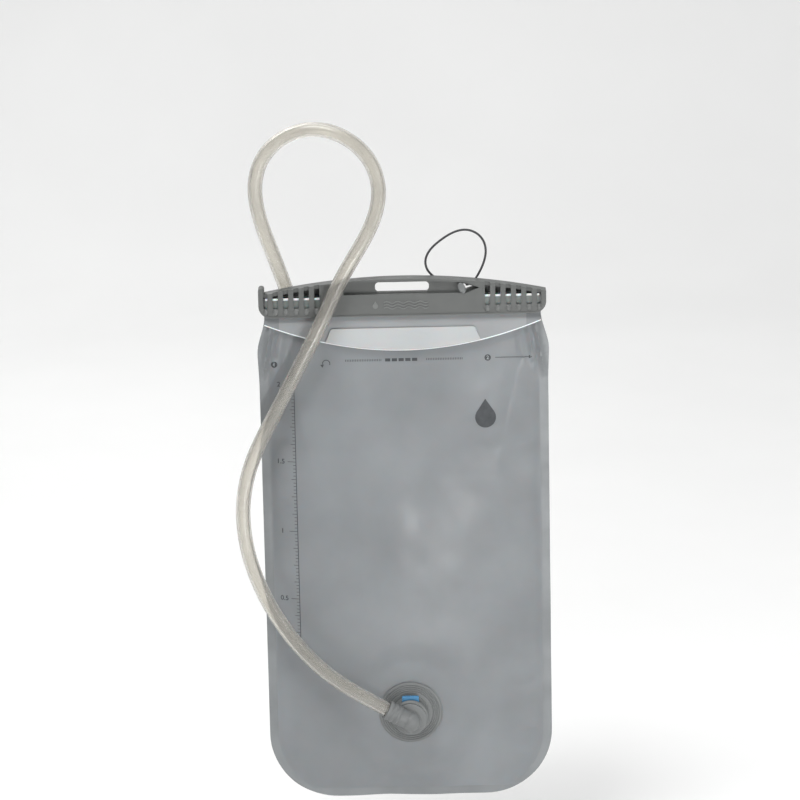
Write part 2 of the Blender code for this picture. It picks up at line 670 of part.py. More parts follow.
def main():
    clear_scene()
    film = make_material("film", (0.42, 0.46, 0.48), 0.45, 0.8)
    closure = make_material("closure", (0.2, 0.21, 0.2), 0.5)
    tab = make_material("tab", (0.8, 0.82, 0.84), 0.4)
    hose = make_material("hose", (0.62, 0.6, 0.54), 0.25, 0.7)
    grey = make_material("grey", (0.25, 0.26, 0.26), 0.45)
    dark = make_material("dark", (0.03, 0.03, 0.035), 0.6)
    blue = make_material("blue", (0.1, 0.35, 0.6), 0.4)
    silicone = make_material("silicone", (0.7, 0.72, 0.72), 0.5)
    steel = make_material("steel", (0.6, 0.6, 0.6), 0.3)
    make_slide_closure(closure)
    make_tether(grey, dark)
    make_films(film)
    make_rails(tab)
    make_mouth_tabs(tab)
    make_port_flange(grey)
    make_poppet(grey, dark, steel)
    make_port_housing(grey)
    make_release_button(blue)
    make_plug(grey, dark)
    hose_points = smooth_route(HOSE_ROUTE, HOSE_SPACING)
    tube_object("drink_hose", hose_points, HOSE_R, hose)
    make_bite_valve(grey, blue, silicone, dark, valve_frame(hose_points))


main()
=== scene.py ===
"""The looks of a hydration bladder: frosted film bag, slide closure, port, drinking hose and bite valve."""

import math

import bmesh
import bpy
import numpy as np
from mathutils import Matrix, Vector, noise


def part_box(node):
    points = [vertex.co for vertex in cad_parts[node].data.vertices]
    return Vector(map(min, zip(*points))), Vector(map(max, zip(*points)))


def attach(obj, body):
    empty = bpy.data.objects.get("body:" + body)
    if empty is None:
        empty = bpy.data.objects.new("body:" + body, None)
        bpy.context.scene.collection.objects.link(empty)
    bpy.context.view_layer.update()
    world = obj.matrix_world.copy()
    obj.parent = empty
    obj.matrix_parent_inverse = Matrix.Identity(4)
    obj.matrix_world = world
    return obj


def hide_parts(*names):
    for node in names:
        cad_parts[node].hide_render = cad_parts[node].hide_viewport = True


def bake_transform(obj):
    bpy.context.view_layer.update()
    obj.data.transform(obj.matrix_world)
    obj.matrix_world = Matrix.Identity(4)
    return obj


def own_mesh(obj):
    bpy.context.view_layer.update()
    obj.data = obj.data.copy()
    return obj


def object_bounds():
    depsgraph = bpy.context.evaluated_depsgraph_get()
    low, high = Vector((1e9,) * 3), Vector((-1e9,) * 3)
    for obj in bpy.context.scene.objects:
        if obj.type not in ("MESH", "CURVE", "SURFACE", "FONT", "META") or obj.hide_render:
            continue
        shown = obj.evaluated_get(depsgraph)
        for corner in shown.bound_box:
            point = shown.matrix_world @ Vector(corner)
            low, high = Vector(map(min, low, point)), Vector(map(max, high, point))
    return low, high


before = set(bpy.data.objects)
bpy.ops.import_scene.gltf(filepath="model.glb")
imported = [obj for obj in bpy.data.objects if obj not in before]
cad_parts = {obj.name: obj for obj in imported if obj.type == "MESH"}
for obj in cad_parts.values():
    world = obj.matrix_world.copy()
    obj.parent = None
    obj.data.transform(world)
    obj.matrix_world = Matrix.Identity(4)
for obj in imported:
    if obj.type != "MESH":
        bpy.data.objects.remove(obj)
cad_low, cad_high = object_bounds()

MM = 0.001
ON_AXIS = 1e-9  # a smaller radius than this counts as none
closure_low, closure_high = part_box("slide_closure")
rail_low, rail_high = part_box("front_seal_rail")

# slide closure
CLOSURE_HALF = closure_high.x
CLOSURE_TOP = closure_high.z
CLOSURE_BOTTOM = closure_low.z
CLOSURE_DEPTH = closure_high.y - closure_low.y
CLOSURE_DROP = 10 * MM
CLOSURE_CORNER = 8 * MM
CLOSURE_EDGE = 0.4 * MM
CLOSURE_WALL = 1.4 * MM
CLOSURE_END_WALL = 2 * MM
WEB_DEPTH = 3.5 * MM
RIM = 1.4 * MM
STEP_Z = -7.3 * MM
CHANNEL_TOP = -8.7 * MM
CHANNEL_LIP_Z = -19.6 * MM
CHANNEL_SLOT_HALF = 2.45 * MM
SLOT_HALF = 17.5 * MM
SLOT_HEIGHT = 6.7 * MM
SLOT_CORNER = 2.4 * MM
FRONT_RECESS = (-38 * MM, 42 * MM)
RECESS_CORNER = 1.6 * MM
RECESS_TIP = 50 * MM  # the front recess runs out to a point past the toggle's hole
BACK_RECESS = (-48 * MM, 50 * MM)
POCKET_START = 52 * MM
POCKET_FLOOR = -11 * MM
POCKET_ROOF = 2.6 * MM
WINDOW_FIRST = 55.4 * MM
WINDOW_PITCH = 6.75 * MM
WINDOW_WIDTH = 3.4 * MM
WINDOW_COUNT = 6
WINDOW_BOTTOM = -15.8 * MM
WINDOW_CORNER = 0.6 * MM
LIP_Z = -18.0 * MM
LIP_HALF_HEIGHT = 2.1
LAST_WINDOW_PITCH = 6.4 * MM
LAST_WINDOW_WIDTH = 2.6 * MM
PANEL_BOTTOM = -20.7 * MM  # the windows stand in a panel that is sunk a little into the face
PANEL_DEPTH = 0.35 * MM
PANEL_CORNER = 5 * MM
PAST_TOP = 5 * MM  # what is open at the top is cut this far past the arch
POST_WIDTH = 3.8 * MM
POST_TOP = -2.2 * MM
POST_FOOT = -14 * MM
POST_CORNER = 1.6 * MM
TOGGLE_X = 38.8 * MM
TOGGLE_Z = -4 * MM
TOGGLE_HOLE_R = 2.4 * MM
TOGGLE_HOLE_TIP = 47 * MM
GROOVE_RISE = 0.9 * MM  # the groove along the lower edge: above the edge, high and deep
GROOVE_HEIGHT = 0.45 * MM
GROOVE_DEPTH = 0.3 * MM
EDGE_ANGLE = math.radians(40)  # edges sharper than this are rounded

# emblem, raised from the closure's face
EMBLEM_Z = -14.6 * MM
EMBLEM_RISE = 0.4 * MM
EMBLEM_ROOT = 0.5 * MM
EMBLEM_DROP_X = -17.5 * MM
EMBLEM_DROP_R = 1.7 * MM
WAVES_START = -12 * MM
WAVES_LENGTH = 29 * MM
WAVE_PITCH = 1.9 * MM
WAVE_HEIGHT = 0.6 * MM
WAVE_STROKE = 0.32 * MM  # half a wave line's width

# seal rails
BEAD_HEIGHT = 1.3 * MM
RAIL_STEP = 0.25 * MM  # how far the bead stands out, and its chamfer

# bag films
FILM = 0.5 * MM
FILM_PITCH = 1.1 * MM
SEAM_PITCH = 0.52 * MM  # the films' middles are this far apart where they are welded
BAG_PLANE = FILM_PITCH
MOUTH_HALF = 90 * MM
BAG_HALF = 94.5 * MM
SHOULDER_HALF = 95.2 * MM
SHOULDER_RISE = 25 * MM
SHOULDER_FADE = 20 * MM
BAG_BOTTOM = -355 * MM
BAG_CORNER = 45 * MM
SEAM = 6 * MM
BELLY = 14 * MM
BELLY_RISE = 95 * MM
BELLY_DROP = 150 * MM
FOLD_Z = -11.5 * MM
FLAP_EDGE = -27.2 * MM
FLAP_SAG = 18.2 * MM
FLAP_WELD = 9 * MM
FLAP_EDGE_HIGHLIGHT = 0.7 * MM  # the flap's cut edge takes the bright bead layer this far up: a painted highlight along it
TAB = 0.5 * MM
TAB_HALF = 47.6 * MM
TAB_SLANT = 3 * MM
TAB_TOP = -30 * MM
TAB_ROOM = 1.2 * MM
TAB_EDGE = 0.8 * MM
TAB_CORNER = 2.2 * MM
OUTER_TAB_PITCHES = 1.5 + 1.0 * MM / FILM_PITCH  # the tabs' depths, in film pitches in front of the fold
INNER_TAB_PITCHES = 0.5 - 1.15 * MM / FILM_PITCH
# where the bag is drawn in by the closure its shoulders crease: start, end, rise in millimetres, half width
SHOULDER_CREASES = [
    ((85.5 * MM, -24 * MM), (92.5 * MM, -66 * MM), 3.4, 3.0 * MM),
    ((80.5 * MM, -28 * MM), (86.0 * MM, -60 * MM), 2.0, 2.4 * MM),
    ((75.0 * MM, -32 * MM), (79.0 * MM, -58 * MM), 1.2, 2.4 * MM),
]

# port
PORT_Z = -292 * MM
PORT_BELLY = 11.5 * MM
PORT_LAND = 33 * MM
PORT_FADE = 50 * MM
PORT_HOLE_R = 10 * MM
PORT_FACE = -11.35 * MM
GRIPS = 18
GRIP_SWEEP = (math.radians(-55), math.radians(-305))  # clear of the button
GRIP_AXIS_R = 11.8 * MM
ELBOW_OUT = 20 * MM
ELBOW_ANGLE = math.radians(150)
ELBOW_REACH = 18 * MM
ELBOW_BEND_R = 6 * MM  # the radius of the bend and also of its tube

# bite valve
COLLAR_GRIPS = 20
COLLAR_GRIP_AXIS_R = 9.85 * MM

# hose and tether
HOSE_R = 4.75 * MM
HOSE_BORE_R = 3.2 * MM
HOSE_PLUGGED = 6 * MM  # how far each end of the hose goes into its socket
TETHER_R = 0.75 * MM

# the same routes as the CAD's, in millimetres
HOSE_ROUTE = [
    (-15.9, -31.4, -282.8), (-32.0, -30.8, -273.4), (-53.0, -28.0, -259.5), (-74.0, -23.5, -239.0),
    (-92.5, -18.0, -211.0), (-104.5, -13.5, -179.0), (-107.2, -11.2, -148.0), (-100.5, -10.6, -117.0),
    (-87.0, -11.0, -89.0), (-69.8, -12.0, -56.2), (-52.6, -11.6, -23.4), (-36.8, -10.6, 9.0),
    (-17.9, -9.6, 42.5), (-13.8, -6.8, 61.1), (-18.7, -3.4, 79.9), (-31.9, -0.4, 93.8),
    (-53.0, 4.2, 100.6), (-73.8, 7.6, 95.4), (-88.6, 9.8, 80.8), (-94.0, 11.8, 61.0),
    (-91.4, 12.8, 40.6), (-84.4, 12.8, 19.0), (-76.2, 13.0, -5.0), (-68.4, 13.4, -32.0),
    (-62.2, 14.6, -66.0), (-59.2, 16.2, -103.0), (-60.4, 17.2, -141.0), (-64.5, 17.8, -177.0),
    (-69.6, 18.3, -211.0), (-74.1, 18.9, -243.0), (-76.0, 19.3, -262.0), (-76.5, 19.5, -275.0),
]
TETHER_ROUTE = [
    (41.6, 3.7, -4.0), (44.6, 4.7, -3.6), (48.0, 6.3, -0.6), (50.8, 6.4, 4.0),
    (53.6, 6.2, 10.5), (54.9, 6.0, 17.5), (53.6, 5.9, 24.2), (48.8, 5.9, 29.8),
    (41.3, 5.9, 32.1), (32.6, 5.9, 29.8), (24.8, 6.0, 24.8), (18.4, 6.2, 18.6),
    (15.6, 6.4, 11.6), (17.2, 6.5, 5.2), (21.8, 6.3, 0.4), (26.8, 5.0, -3.2),
    (31.6, 4.0, -4.2), (36.0, 3.7, -4.0),
]

# print: places are (X, Z)
FILL_LINE_Z = -52.2 * MM
STEP_ONE = (-84.5 * MM, -54 * MM)
STEP_TWO = (55.0 * MM, -52.1 * MM)
CURL = (-50.5 * MM, -54 * MM)
PRINT_DROP = (53 * MM, -89 * MM)
SCALE_X = -72.0 * MM
SCALE_TOP = -72.5 * MM
SCALE_MARKS = 4
SCALE_STEP = 47 * MM
SCALE_PARTS = 20  # fine ticks to one mark's step

# camera
VIEW_TARGET = (-2.8 * MM, 0, -79.8 * MM)
VIEW_ELEVATION = math.radians(15)
VIEW_ROLL = math.radians(-1.2)
VIEW_DISTANCE = 2.5
VIEW_WIDTH = 0.524  # how much the picture spans at the target
SENSOR = 36

# studio: each light's name, place, aim, size and power
FLOOR_GAP = 60 * MM
BAG_AIM = (0, 0, -0.12)
LIGHTS = [
    ("key", (-0.6, -1.1, 1.9), BAG_AIM, (0.9, 0.7), 29),
    ("fill", (1.6, -1.2, 0.3), BAG_AIM, (1.0, 1.6), 5),
    ("top", (0.1, 0.1, 1.9), BAG_AIM, (1.2, 0.5), 14),
    ("strip", (0.85, -1.2, 0.05), BAG_AIM, (0.10, 1.4), 4),
    ("glint", (0.13, -0.75, -0.30), (-0.04, 0, -0.05), (0.05, 0.16), 1.3),
    ("behind", (-0.7, 1.5, 1.0), BAG_AIM, (1.2, 1.0), 8),
]


# ---- small tools ----


def ease(value):
    value = min(max(value, 0.0), 1.0)
    return value * value * (3 - 2 * value)


def add_object(data, *materials, name=None):
    """An object that shows this data, under the same name unless another is given."""
    item = bpy.data.objects.new(name or data.name, data)
    bpy.context.scene.collection.objects.link(item)
    for material in materials:
        data.materials.append(material)
    return item


def stand_for(item, node, body):
    """Makes an object ride on a body and stand in for a CAD node, which it hides."""
    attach(item, body)
    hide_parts(node)


def modify(item, kind, **settings):
    step = item.modifiers.new(kind.lower(), kind)
    for name, value in settings.items():
        setattr(step, name, value)


def shaded(mesh, sharp):
    mesh.shade_smooth()
    mesh.set_sharp_from_angle(angle=math.radians(sharp))
    return mesh


def turned_out(mesh, sharp):
    """Turns a mesh's faces outwards and shades it smooth between its sharp edges."""
    work = bmesh.new()
    work.from_mesh(mesh)
    bmesh.ops.recalc_face_normals(work, faces=work.faces)
    work.to_mesh(mesh)
    work.free()
    return shaded(mesh, sharp)


def mesh_from(name, points, faces, sharp=35):
    mesh = bpy.data.meshes.new(name)
    mesh.from_pydata([tuple(p) for p in points], [], faces)
    return turned_out(mesh, sharp)


def baked(item, sharp=35):
    """Replaces an object's mesh by what its modifiers make of it."""
    graph = bpy.context.evaluated_depsgraph_get()
    mesh = bpy.data.meshes.new_from_object(item.evaluated_get(graph))
    item.modifiers.clear()
    item.data = shaded(mesh, sharp)


def combine(item, cutters, operation="DIFFERENCE"):
    """Cuts closed meshes out of an object, or joins them to it, and keeps the result."""
    others = [add_object(mesh) for mesh in cutters]
    for other in others:
        modify(item, "BOOLEAN", operation=operation, solver="EXACT", object=other)
    baked(item)
    for other in others:
        bpy.data.objects.remove(other)


def bevel(item, width, segments):
    modify(item, "BEVEL", width=width, segments=segments, limit_method="ANGLE", angle_limit=EDGE_ANGLE)


def soften(item, width, segments):
    """Rounds the edges, and leaves the turn of the shading to the small faces along them."""
    bevel(item, width, segments)
    baked(item, 60)
    modify(item, "WEIGHTED_NORMAL", keep_sharp=True)


def box_mesh(name, low, high):
    xs, ys, zs = zip(low, high)
    corners = [(x, y, z) for x in xs for y in ys for z in zs]
    faces = [(0, 1, 3, 2), (4, 6, 7, 5), (0, 4, 5, 1), (2, 3, 7, 6), (0, 2, 6, 4), (1, 5, 7, 3)]
    return mesh_from(name, corners, faces)


def prism_mesh(name, outline, low_y, high_y):
    count = len(outline)
    points = [(x, y, z) for y in (low_y, high_y) for x, z in outline]
    faces = [tuple(range(count)), tuple(range(2 * count - 1, count - 1, -1))]
    faces += [(i, (i + 1) % count, count + (i + 1) % count, count + i) for i in range(count)]
    return mesh_from(name, points, faces)


def arc_points(center_x, center_z, radius, start, end, count=10):
    angles = [math.radians(start + (end - start) * i / count) for i in range(count + 1)]
    return [(center_x + radius * math.cos(a), center_z + radius * math.sin(a)) for a in angles]


def filleted(outline, radius, steps=3):
    """A closed (radius, height) outline with its corners rounded, except those on the axis."""
    made = []
    count = len(outline)
    for i, point in enumerate(outline):
        here = Vector(point)
        before = Vector(outline[i - 1]) - here
        after = Vector(outline[(i + 1) % count]) - here
        if here.x == 0:
            made.append(tuple(here))
            continue
        reach = min(radius, 0.45 * before.length, 0.45 * after.length)
        start = here + before.normalized() * reach
        end = here + after.normalized() * reach
        for j in range(steps + 1):
            t = j / steps
            made.append(tuple((1 - t) ** 2 * start + 2 * t * (1 - t) * here + t * t * end))
    return made


def turned_mesh(name, profile_mm, segments=72, fillet_mm=0.35):
    """A closed profile of (radius, height) points in millimetres, rounded and turned about Z."""
    profile_mm = filleted(profile_mm, fillet_mm) if fillet_mm else profile_mm
    profile = [(r * MM, h * MM) for r, h in profile_mm]
    points = []
    rings = []
    for radius, height in profile:
        if radius < ON_AXIS:
            rings.append([len(points)] * segments)
            points.append((0, 0, height))
            continue
        rings.append(list(range(len(points), len(points) + segments)))
        for i in range(segments):
            angle = 2 * math.pi * i / segments
            points.append((radius * math.cos(angle), radius * math.sin(angle), height))
    open_ended = profile[0][0] < ON_AXIS and profile[-1][0] < ON_AXIS
    pairs = list(zip(rings, rings[1:])) + ([] if open_ended else [(rings[-1], rings[0])])
    faces = []
    for lower, upper in pairs:
        for i in range(segments):
            j = (i + 1) % segments
            corners = tuple(dict.fromkeys([lower[i], lower[j], upper[j], upper[i]]))
            if len(corners) > 2:
                faces.append(corners)
    return mesh_from(name, points, faces, 50)


def turned_copies(name, profile_mm, places, segments, fillet_mm):
    """The same small turned shape at several places."""
    meshes = []
    for place in places:
        mesh = turned_mesh(name, profile_mm, segments, fillet_mm)
        mesh.transform(Matrix.Translation(place))
        meshes.append(mesh)
    return meshes


def distances(points):
    """How far each point is along the line through all of them."""
    return np.concatenate([[0], np.cumsum(np.linalg.norm(np.diff(points, axis=0), axis=1))])


def smooth_route(route_mm, spacing):
    """Points about this far apart on the natural cubic spline through a route's points."""
    points = np.array(route_mm) * MM
    steps = np.linalg.norm(np.diff(points, axis=0), axis=1)
    count = len(points)
    matrix = np.eye(count)
    right = np.zeros((count, 3))
    for i in range(1, count - 1):
        matrix[i, i - 1 : i + 2] = steps[i - 1], 2 * (steps[i - 1] + steps[i]), steps[i]
        ahead = (points[i + 1] - points[i]) / steps[i]
        behind = (points[i] - points[i - 1]) / steps[i - 1]
        right[i] = 6 * (ahead - behind)
    bend = np.linalg.solve(matrix, right)
    fine = []
    for i, step in enumerate(steps):
        for t in np.linspace(0, 1, 24, endpoint=False):
            a, b = 1 - t, t
            curve = ((a**3 - a) * bend[i] + (b**3 - b) * bend[i + 1]) * step**2 / 6
            fine.append(a * points[i] + b * points[i + 1] + curve)
    fine = np.array(fine + [points[-1]])
    along = distances(fine)
    stops = np.linspace(0, along[-1], max(2, round(along[-1] / spacing) + 1))
    return np.stack([np.interp(stops, along, fine[:, k]) for k in range(3)], axis=1)


def carried_frames(centres):
    """A side and an up direction at each centre, carried along without twisting."""
    points = [Vector(p) for p in centres]
    around = zip([points[0]] + points, points[1:] + [points[-1]])
    ahead = [(after - before).normalized() for before, after in around]
    side = ahead[0].orthogonal().normalized()
    frames = []
    for direction in ahead:
        side = (side - direction * side.dot(direction)).normalized()
        frames.append((side, direction.cross(side)))
    return frames


def tube_walls(count, sides, walls):
    """The faces between a tube's rings, each with its corners' steps round and along the tube."""
    faces = []
    for wall in range(walls):
        turn = -1 if wall else 1
        for i in range(count - 1):
            for k in range(sides):
                spots = [(k, i), (k + 1, i), (k + 1, i + 1), (k, i + 1)]
                corners = [(wall * count + v) * sides + u % sides for u, v in spots]
                faces.append((corners[::turn], spots[::turn]))
    return faces


def tube_ends(count, sides, bored):
    """A disc or, with a bore, a flat ring of faces at each end, as from tube_walls."""
    faces = []
    inner = count * sides
    for i in (0, count - 1):
        rim = range(i * sides, (i + 1) * sides)
        if not bored:
            faces.append((tuple(rim), [(0, i)] * sides))
            continue
        for a, b in zip(rim, [*rim[1:], rim[0]]):
            faces.append(((a, inner + a, inner + b, b), [(0, i)] * 4))
    return faces


def tube_mesh(name, centres, radius, sides, bore=0.0):
    """A tube along these centres, with its UVs in metres round and along it, and a bore if one is given."""
    along = distances(np.array(centres))
    walls = [radius, bore] if bore else [radius]
    angles = [2 * math.pi * k / sides for k in range(sides)]
    points = [
        Vector(centre) + wall * (math.cos(angle) * side + math.sin(angle) * up)
        for wall in walls
        for centre, (side, up) in zip(centres, carried_frames(centres))
        for angle in angles
    ]
    count = len(centres)
    faces = tube_walls(count, sides, len(walls)) + tube_ends(count, sides, bore)
    mesh = bpy.data.meshes.new(name)
    mesh.from_pydata([tuple(p) for p in points], [], [corners for corners, spots in faces])
    layer = mesh.uv_layers.new(name="along")
    for polygon, (corners, spots) in zip(mesh.polygons, faces):
        for corner, (u, v) in zip(polygon.loop_indices, spots):
            layer.data[corner].uv = (u / sides * 2 * math.pi * radius, along[v])
    return turned_out(mesh, 50)


# ---- materials ----


class Finish:
    """A material with one Principled shader, and short ways to add procedural detail to it."""

    def __init__(self, name, color, roughness, **sockets):
        self.material = bpy.data.materials.new(name)
        self.material.use_nodes = True
        self.tree = self.material.node_tree
        self.shader = self.tree.nodes["Principled BSDF"]
        self.shader.inputs["Base Color"].default_value = (*color, 1.0)
        self.shader.inputs["Roughness"].default_value = roughness
        for socket, value in sockets.items():
            self.shader.inputs[socket.replace("_", " ")].default_value = value
        self.color = color
        self.place = self.tree.nodes.new("ShaderNodeTexCoord").outputs["Object"]
        self.height = None

    def use_uvs(self):
        self.place = self.tree.nodes.new("ShaderNodeTexCoord").outputs["UV"]

    def link(self, source, target):
        self.tree.links.new(source, target)

    def math(self, operation, a, b):
        node = self.tree.nodes.new("ShaderNodeMath")
        node.operation = operation
        for socket, value in zip(node.inputs, (a, b)):
            if isinstance(value, (int, float)):
                socket.default_value = value
            else:
                self.link(value, socket)
        return node.outputs[0]

    def stretched(self, scale):
        node = self.tree.nodes.new("ShaderNodeMapping")
        node.inputs["Scale"].default_value = scale
        self.link(self.place, node.inputs["Vector"])
        return node.outputs["Vector"]

    def noise(self, scale, detail=3.0, stretch=None):
        node = self.tree.nodes.new("ShaderNodeTexNoise")
        node.inputs["Scale"].default_value = scale
        node.inputs["Detail"].default_value = detail
        self.link(self.stretched(stretch) if stretch else self.place, node.inputs["Vector"])
        return node.outputs["Fac"]

    def waves(self, scale, stretch, diagonal=False):
        node = self.tree.nodes.new("ShaderNodeTexWave")
        node.inputs["Scale"].default_value = scale
        node.bands_direction = "DIAGONAL" if diagonal else "Y"
        self.link(self.stretched(stretch), node.inputs["Vector"])
        return node.outputs["Fac"]

    def spread(self, source, low, high, from_low=0.3, from_high=0.7):
        """A source's values, usually about one half, taken to lie between low and high."""
        node = self.tree.nodes.new("ShaderNodeMapRange")
        for socket, value in zip(node.inputs[1:5], (from_low, from_high, low, high)):
            socket.default_value = value
        self.link(source, node.inputs[0])
        return node.outputs[0]

    def vary_color(self, source, darker, lighter, from_low=0.3, from_high=0.7):
        """The colour goes between these shares of itself as the source goes from low to high."""
        node = self.tree.nodes.new("ShaderNodeValToRGB")
        low, high = node.color_ramp.elements
        low.position, high.position = from_low, from_high
        low.color = (*[min(c * darker, 1) for c in self.color], 1)
        high.color = (*[min(c * lighter, 1) for c in self.color], 1)
        self.link(source, node.inputs[0])
        self.link(node.outputs[0], self.shader.inputs["Base Color"])

    def vary_roughness(self, source, low, high):
        self.link(self.spread(source, low, high), self.shader.inputs["Roughness"])

    def bump(self, source, distance, strength=1.0):
        node = self.tree.nodes.new("ShaderNodeBump")
        node.inputs["Distance"].default_value = distance
        node.inputs["Strength"].default_value = strength
        self.link(source, node.inputs["Height"])
        if self.height:
            self.link(self.height, node.inputs["Normal"])
        self.height = node.outputs["Normal"]
        self.link(self.height, self.shader.inputs["Normal"])

    def weathered(self, shade, patches, grain):
        """Colour, roughness and relief: each a noise's scale and detail, then what it is spread over."""
        self.vary_color(self.noise(*shade[:2]), *shade[2:])
        self.vary_roughness(self.noise(*patches[:2]), *patches[2:])
        self.bump(self.noise(*grain[:2]), *grain[2:])
        return self.material


def film_material(name, color, alpha):
    """Frosted film: cloudy, finely matt, with a slight sheen."""
    finish = Finish(name, color, 0.36, Alpha=alpha, IOR=1.45, Subsurface_Weight=0.15, Subsurface_Scale=0.004)
    finish.weathered((14, 4, 0.88, 1.12), (60, 3, 0.3, 0.44), (1400, 2, 0.04 * MM, 0.5))
    finish.bump(finish.noise(45, 3, (1, 1, 0.5)), 0.7 * MM, 0.35)
    return finish.material


def weld_material(name, color):
    """The welded seam: clearer than the film, with the welding bar's fine cross lines."""
    finish = Finish(name, color, 0.38, Alpha=0.9, IOR=1.45)
    finish.vary_color(finish.noise(40, 3), 0.9, 1.1)
    finish.bump(finish.waves(260, (0, 0, 1)), 0.12 * MM, 0.6)
    finish.bump(finish.noise(1400, 2), 0.04 * MM, 0.4)
    return finish.material


def milky_material(name, color):
    finish = Finish(name, color, 0.4, IOR=1.45, Subsurface_Weight=0.3, Subsurface_Scale=0.003)
    return finish.weathered((25, 3, 0.95, 1.03), (90, 3, 0.35, 0.48), (900, 2, 0.04 * MM, 0.4))


def moulded_material(name, color, roughness):
    """Moulded plastic: fine spark-eroded grain, slight flow marks, edges a little lighter, partly rubbed and
    partly a painted highlight.
    """
    finish = Finish(name, color, roughness, IOR=1.46)
    convexity = finish.tree.nodes.new("ShaderNodeNewGeometry").outputs["Pointiness"]
    # convex edges painted lighter: partly rubbed wear, partly a painted highlight along them
    rubbed_and_highlit = finish.spread(convexity, 0, 0.5, 0.5, 0.56)
    flow = finish.noise(30, 4, (1, 1, 2.5))
    both = finish.math("ADD", rubbed_and_highlit, finish.math("MULTIPLY", flow, 0.7))
    finish.vary_color(both, 0.93, 1.22, 0.2, 0.8)
    finish.vary_roughness(finish.noise(140, 3), roughness - 0.06, roughness + 0.08)
    finish.bump(finish.noise(2600, 2), 0.06 * MM, 0.6)
    return finish.material


def rubber_material(name, color):
    finish = Finish(name, color, 0.62, IOR=1.5)
    return finish.weathered((120, 3, 0.8, 1.3), (200, 3, 0.52, 0.7), (2200, 2, 0.03 * MM, 0.5))


def silicone_material(name, color):
    glow = {"Transmission_Weight": 0.25, "Subsurface_Weight": 0.5, "Subsurface_Scale": 0.004}
    finish = Finish(name, color, 0.42, IOR=1.41, **glow)
    return finish.weathered((80, 3, 0.94, 1.05), (160, 2, 0.36, 0.5), (1500, 2, 0.03 * MM, 0.5))


def hose_material(name, color):
    """Clear drinking hose, gone faintly milky, with the extruder's long fine lines."""
    finish = Finish(name, color, 0.2, Transmission_Weight=0.88, IOR=1.42, Specular_IOR_Level=0.6)
    finish.use_uvs()
    finish.vary_color(finish.noise(30, 3), 0.94, 1.06)
    finish.vary_roughness(finish.noise(90, 3), 0.16, 0.26)
    finish.bump(finish.noise(900, 2, (1, 0.02, 1)), 0.01 * MM, 0.15)
    return finish.material


def braid_material(name, color):
    """A thin braided cord: two sets of strands crossing."""
    finish = Finish(name, color, 0.75, Sheen_Weight=0.35)
    finish.use_uvs()
    right, left = (finish.waves(420, (turn, 1, 1), diagonal=True) for turn in (1, -1))
    strands = finish.math("MAXIMUM", right, left)
    finish.vary_color(strands, 0.6, 2.2)
    finish.bump(strands, 0.12 * MM, 0.9)
    return finish.material


def steel_material(name):
    finish = Finish(name, (0.58, 0.58, 0.57), 0.28, Metallic=1.0)
    finish.vary_roughness(finish.noise(300, 3), 0.22, 0.36)
    finish.bump(finish.noise(1200, 2), 0.02 * MM, 0.4)
    return finish.material


def ink_material(name, color):
    finish = Finish(name, color, 0.55, Alpha=0.93)
    return finish.weathered((300, 3, 0.85, 1.2), (200, 2, 0.48, 0.62), (1600, 2, 0.02 * MM, 0.4))


def floor_material():
    finish = Finish("studio_floor", (0.93, 0.93, 0.925), 0.9)
    finish.vary_color(finish.noise(3, 3), 0.98, 1.02)
    return finish.material


MATERIALS = {
    "film": film_material("frosted_film", (0.235, 0.247, 0.258), 0.93),
    "flap": film_material("folded_film", (0.295, 0.302, 0.31), 0.95),
    "weld": weld_material("welded_seam", (0.235, 0.248, 0.255)),
    # the rails' clear web, painted dark as the shade inside the closure where the windows show it
    "rail_web_painted_shade": milky_material("clear_strip_painted_shade", (0.17, 0.19, 0.18)),
    "rail": milky_material("milky_strip", (0.475, 0.478, 0.484)),
    # nearly white: milky plastic with a painted highlight along the edges it is laid on
    "bead_highlight": milky_material("milky_bead_painted_highlight", (0.86, 0.865, 0.87)),
    "closure": moulded_material("closure_plastic", (0.090, 0.094, 0.091), 0.5),
    # a glossier copy of the closure plastic, its colour painted lighter as a highlight
    "polished_and_highlit": moulded_material("polished_plastic_painted_highlight", (0.135, 0.14, 0.137), 0.36),
    "fitting": moulded_material("fitting_plastic", (0.15, 0.157, 0.157), 0.42),
    "accent": moulded_material("blue_plastic", (0.05, 0.19, 0.36), 0.4),
    "seal": rubber_material("black_rubber", (0.018, 0.018, 0.02)),
    "silicone": silicone_material("soft_silicone", (0.55, 0.6, 0.62)),
    "hose": hose_material("clear_hose", (0.82, 0.80, 0.75)),
    "tether": braid_material("black_braid", (0.02, 0.02, 0.022)),
    "spring": steel_material("spring_wire"),
    "ink": ink_material("grey_ink", (0.05, 0.055, 0.06)),
    "pale_ink": ink_material("pale_ink", (0.34, 0.36, 0.37)),
}


# ---- camera and cords ----


def make_camera():
    back = Vector((0, -math.cos(VIEW_ELEVATION), math.sin(VIEW_ELEVATION)))
    data = bpy.data.cameras.new("camera")
    data.sensor_width = SENSOR
    data.lens = SENSOR * VIEW_DISTANCE / VIEW_WIDTH
    camera = add_object(data)
    place = Matrix.Translation(Vector(VIEW_TARGET) + back * VIEW_DISTANCE)
    turn = (-back).to_track_quat("-Z", "Y").to_matrix().to_4x4()
    camera.matrix_world = place @ turn @ Matrix.Rotation(VIEW_ROLL, 4, "Z")
    bpy.context.scene.camera = camera


def run_on(centres, length, step=2 * MM):
    """The centres with straight ends added, as where a hose is pushed into its sockets."""
    centres = [Vector(p) for p in centres]
    steps = round(length / step)
    first = (centres[0] - centres[1]).normalized()
    last = (centres[-1] - centres[-2]).normalized()
    before = [centres[0] + first * step * i for i in range(steps, 0, -1)]
    after = [centres[-1] + last * step * i for i in range(1, steps + 1)]
    return before + centres + after


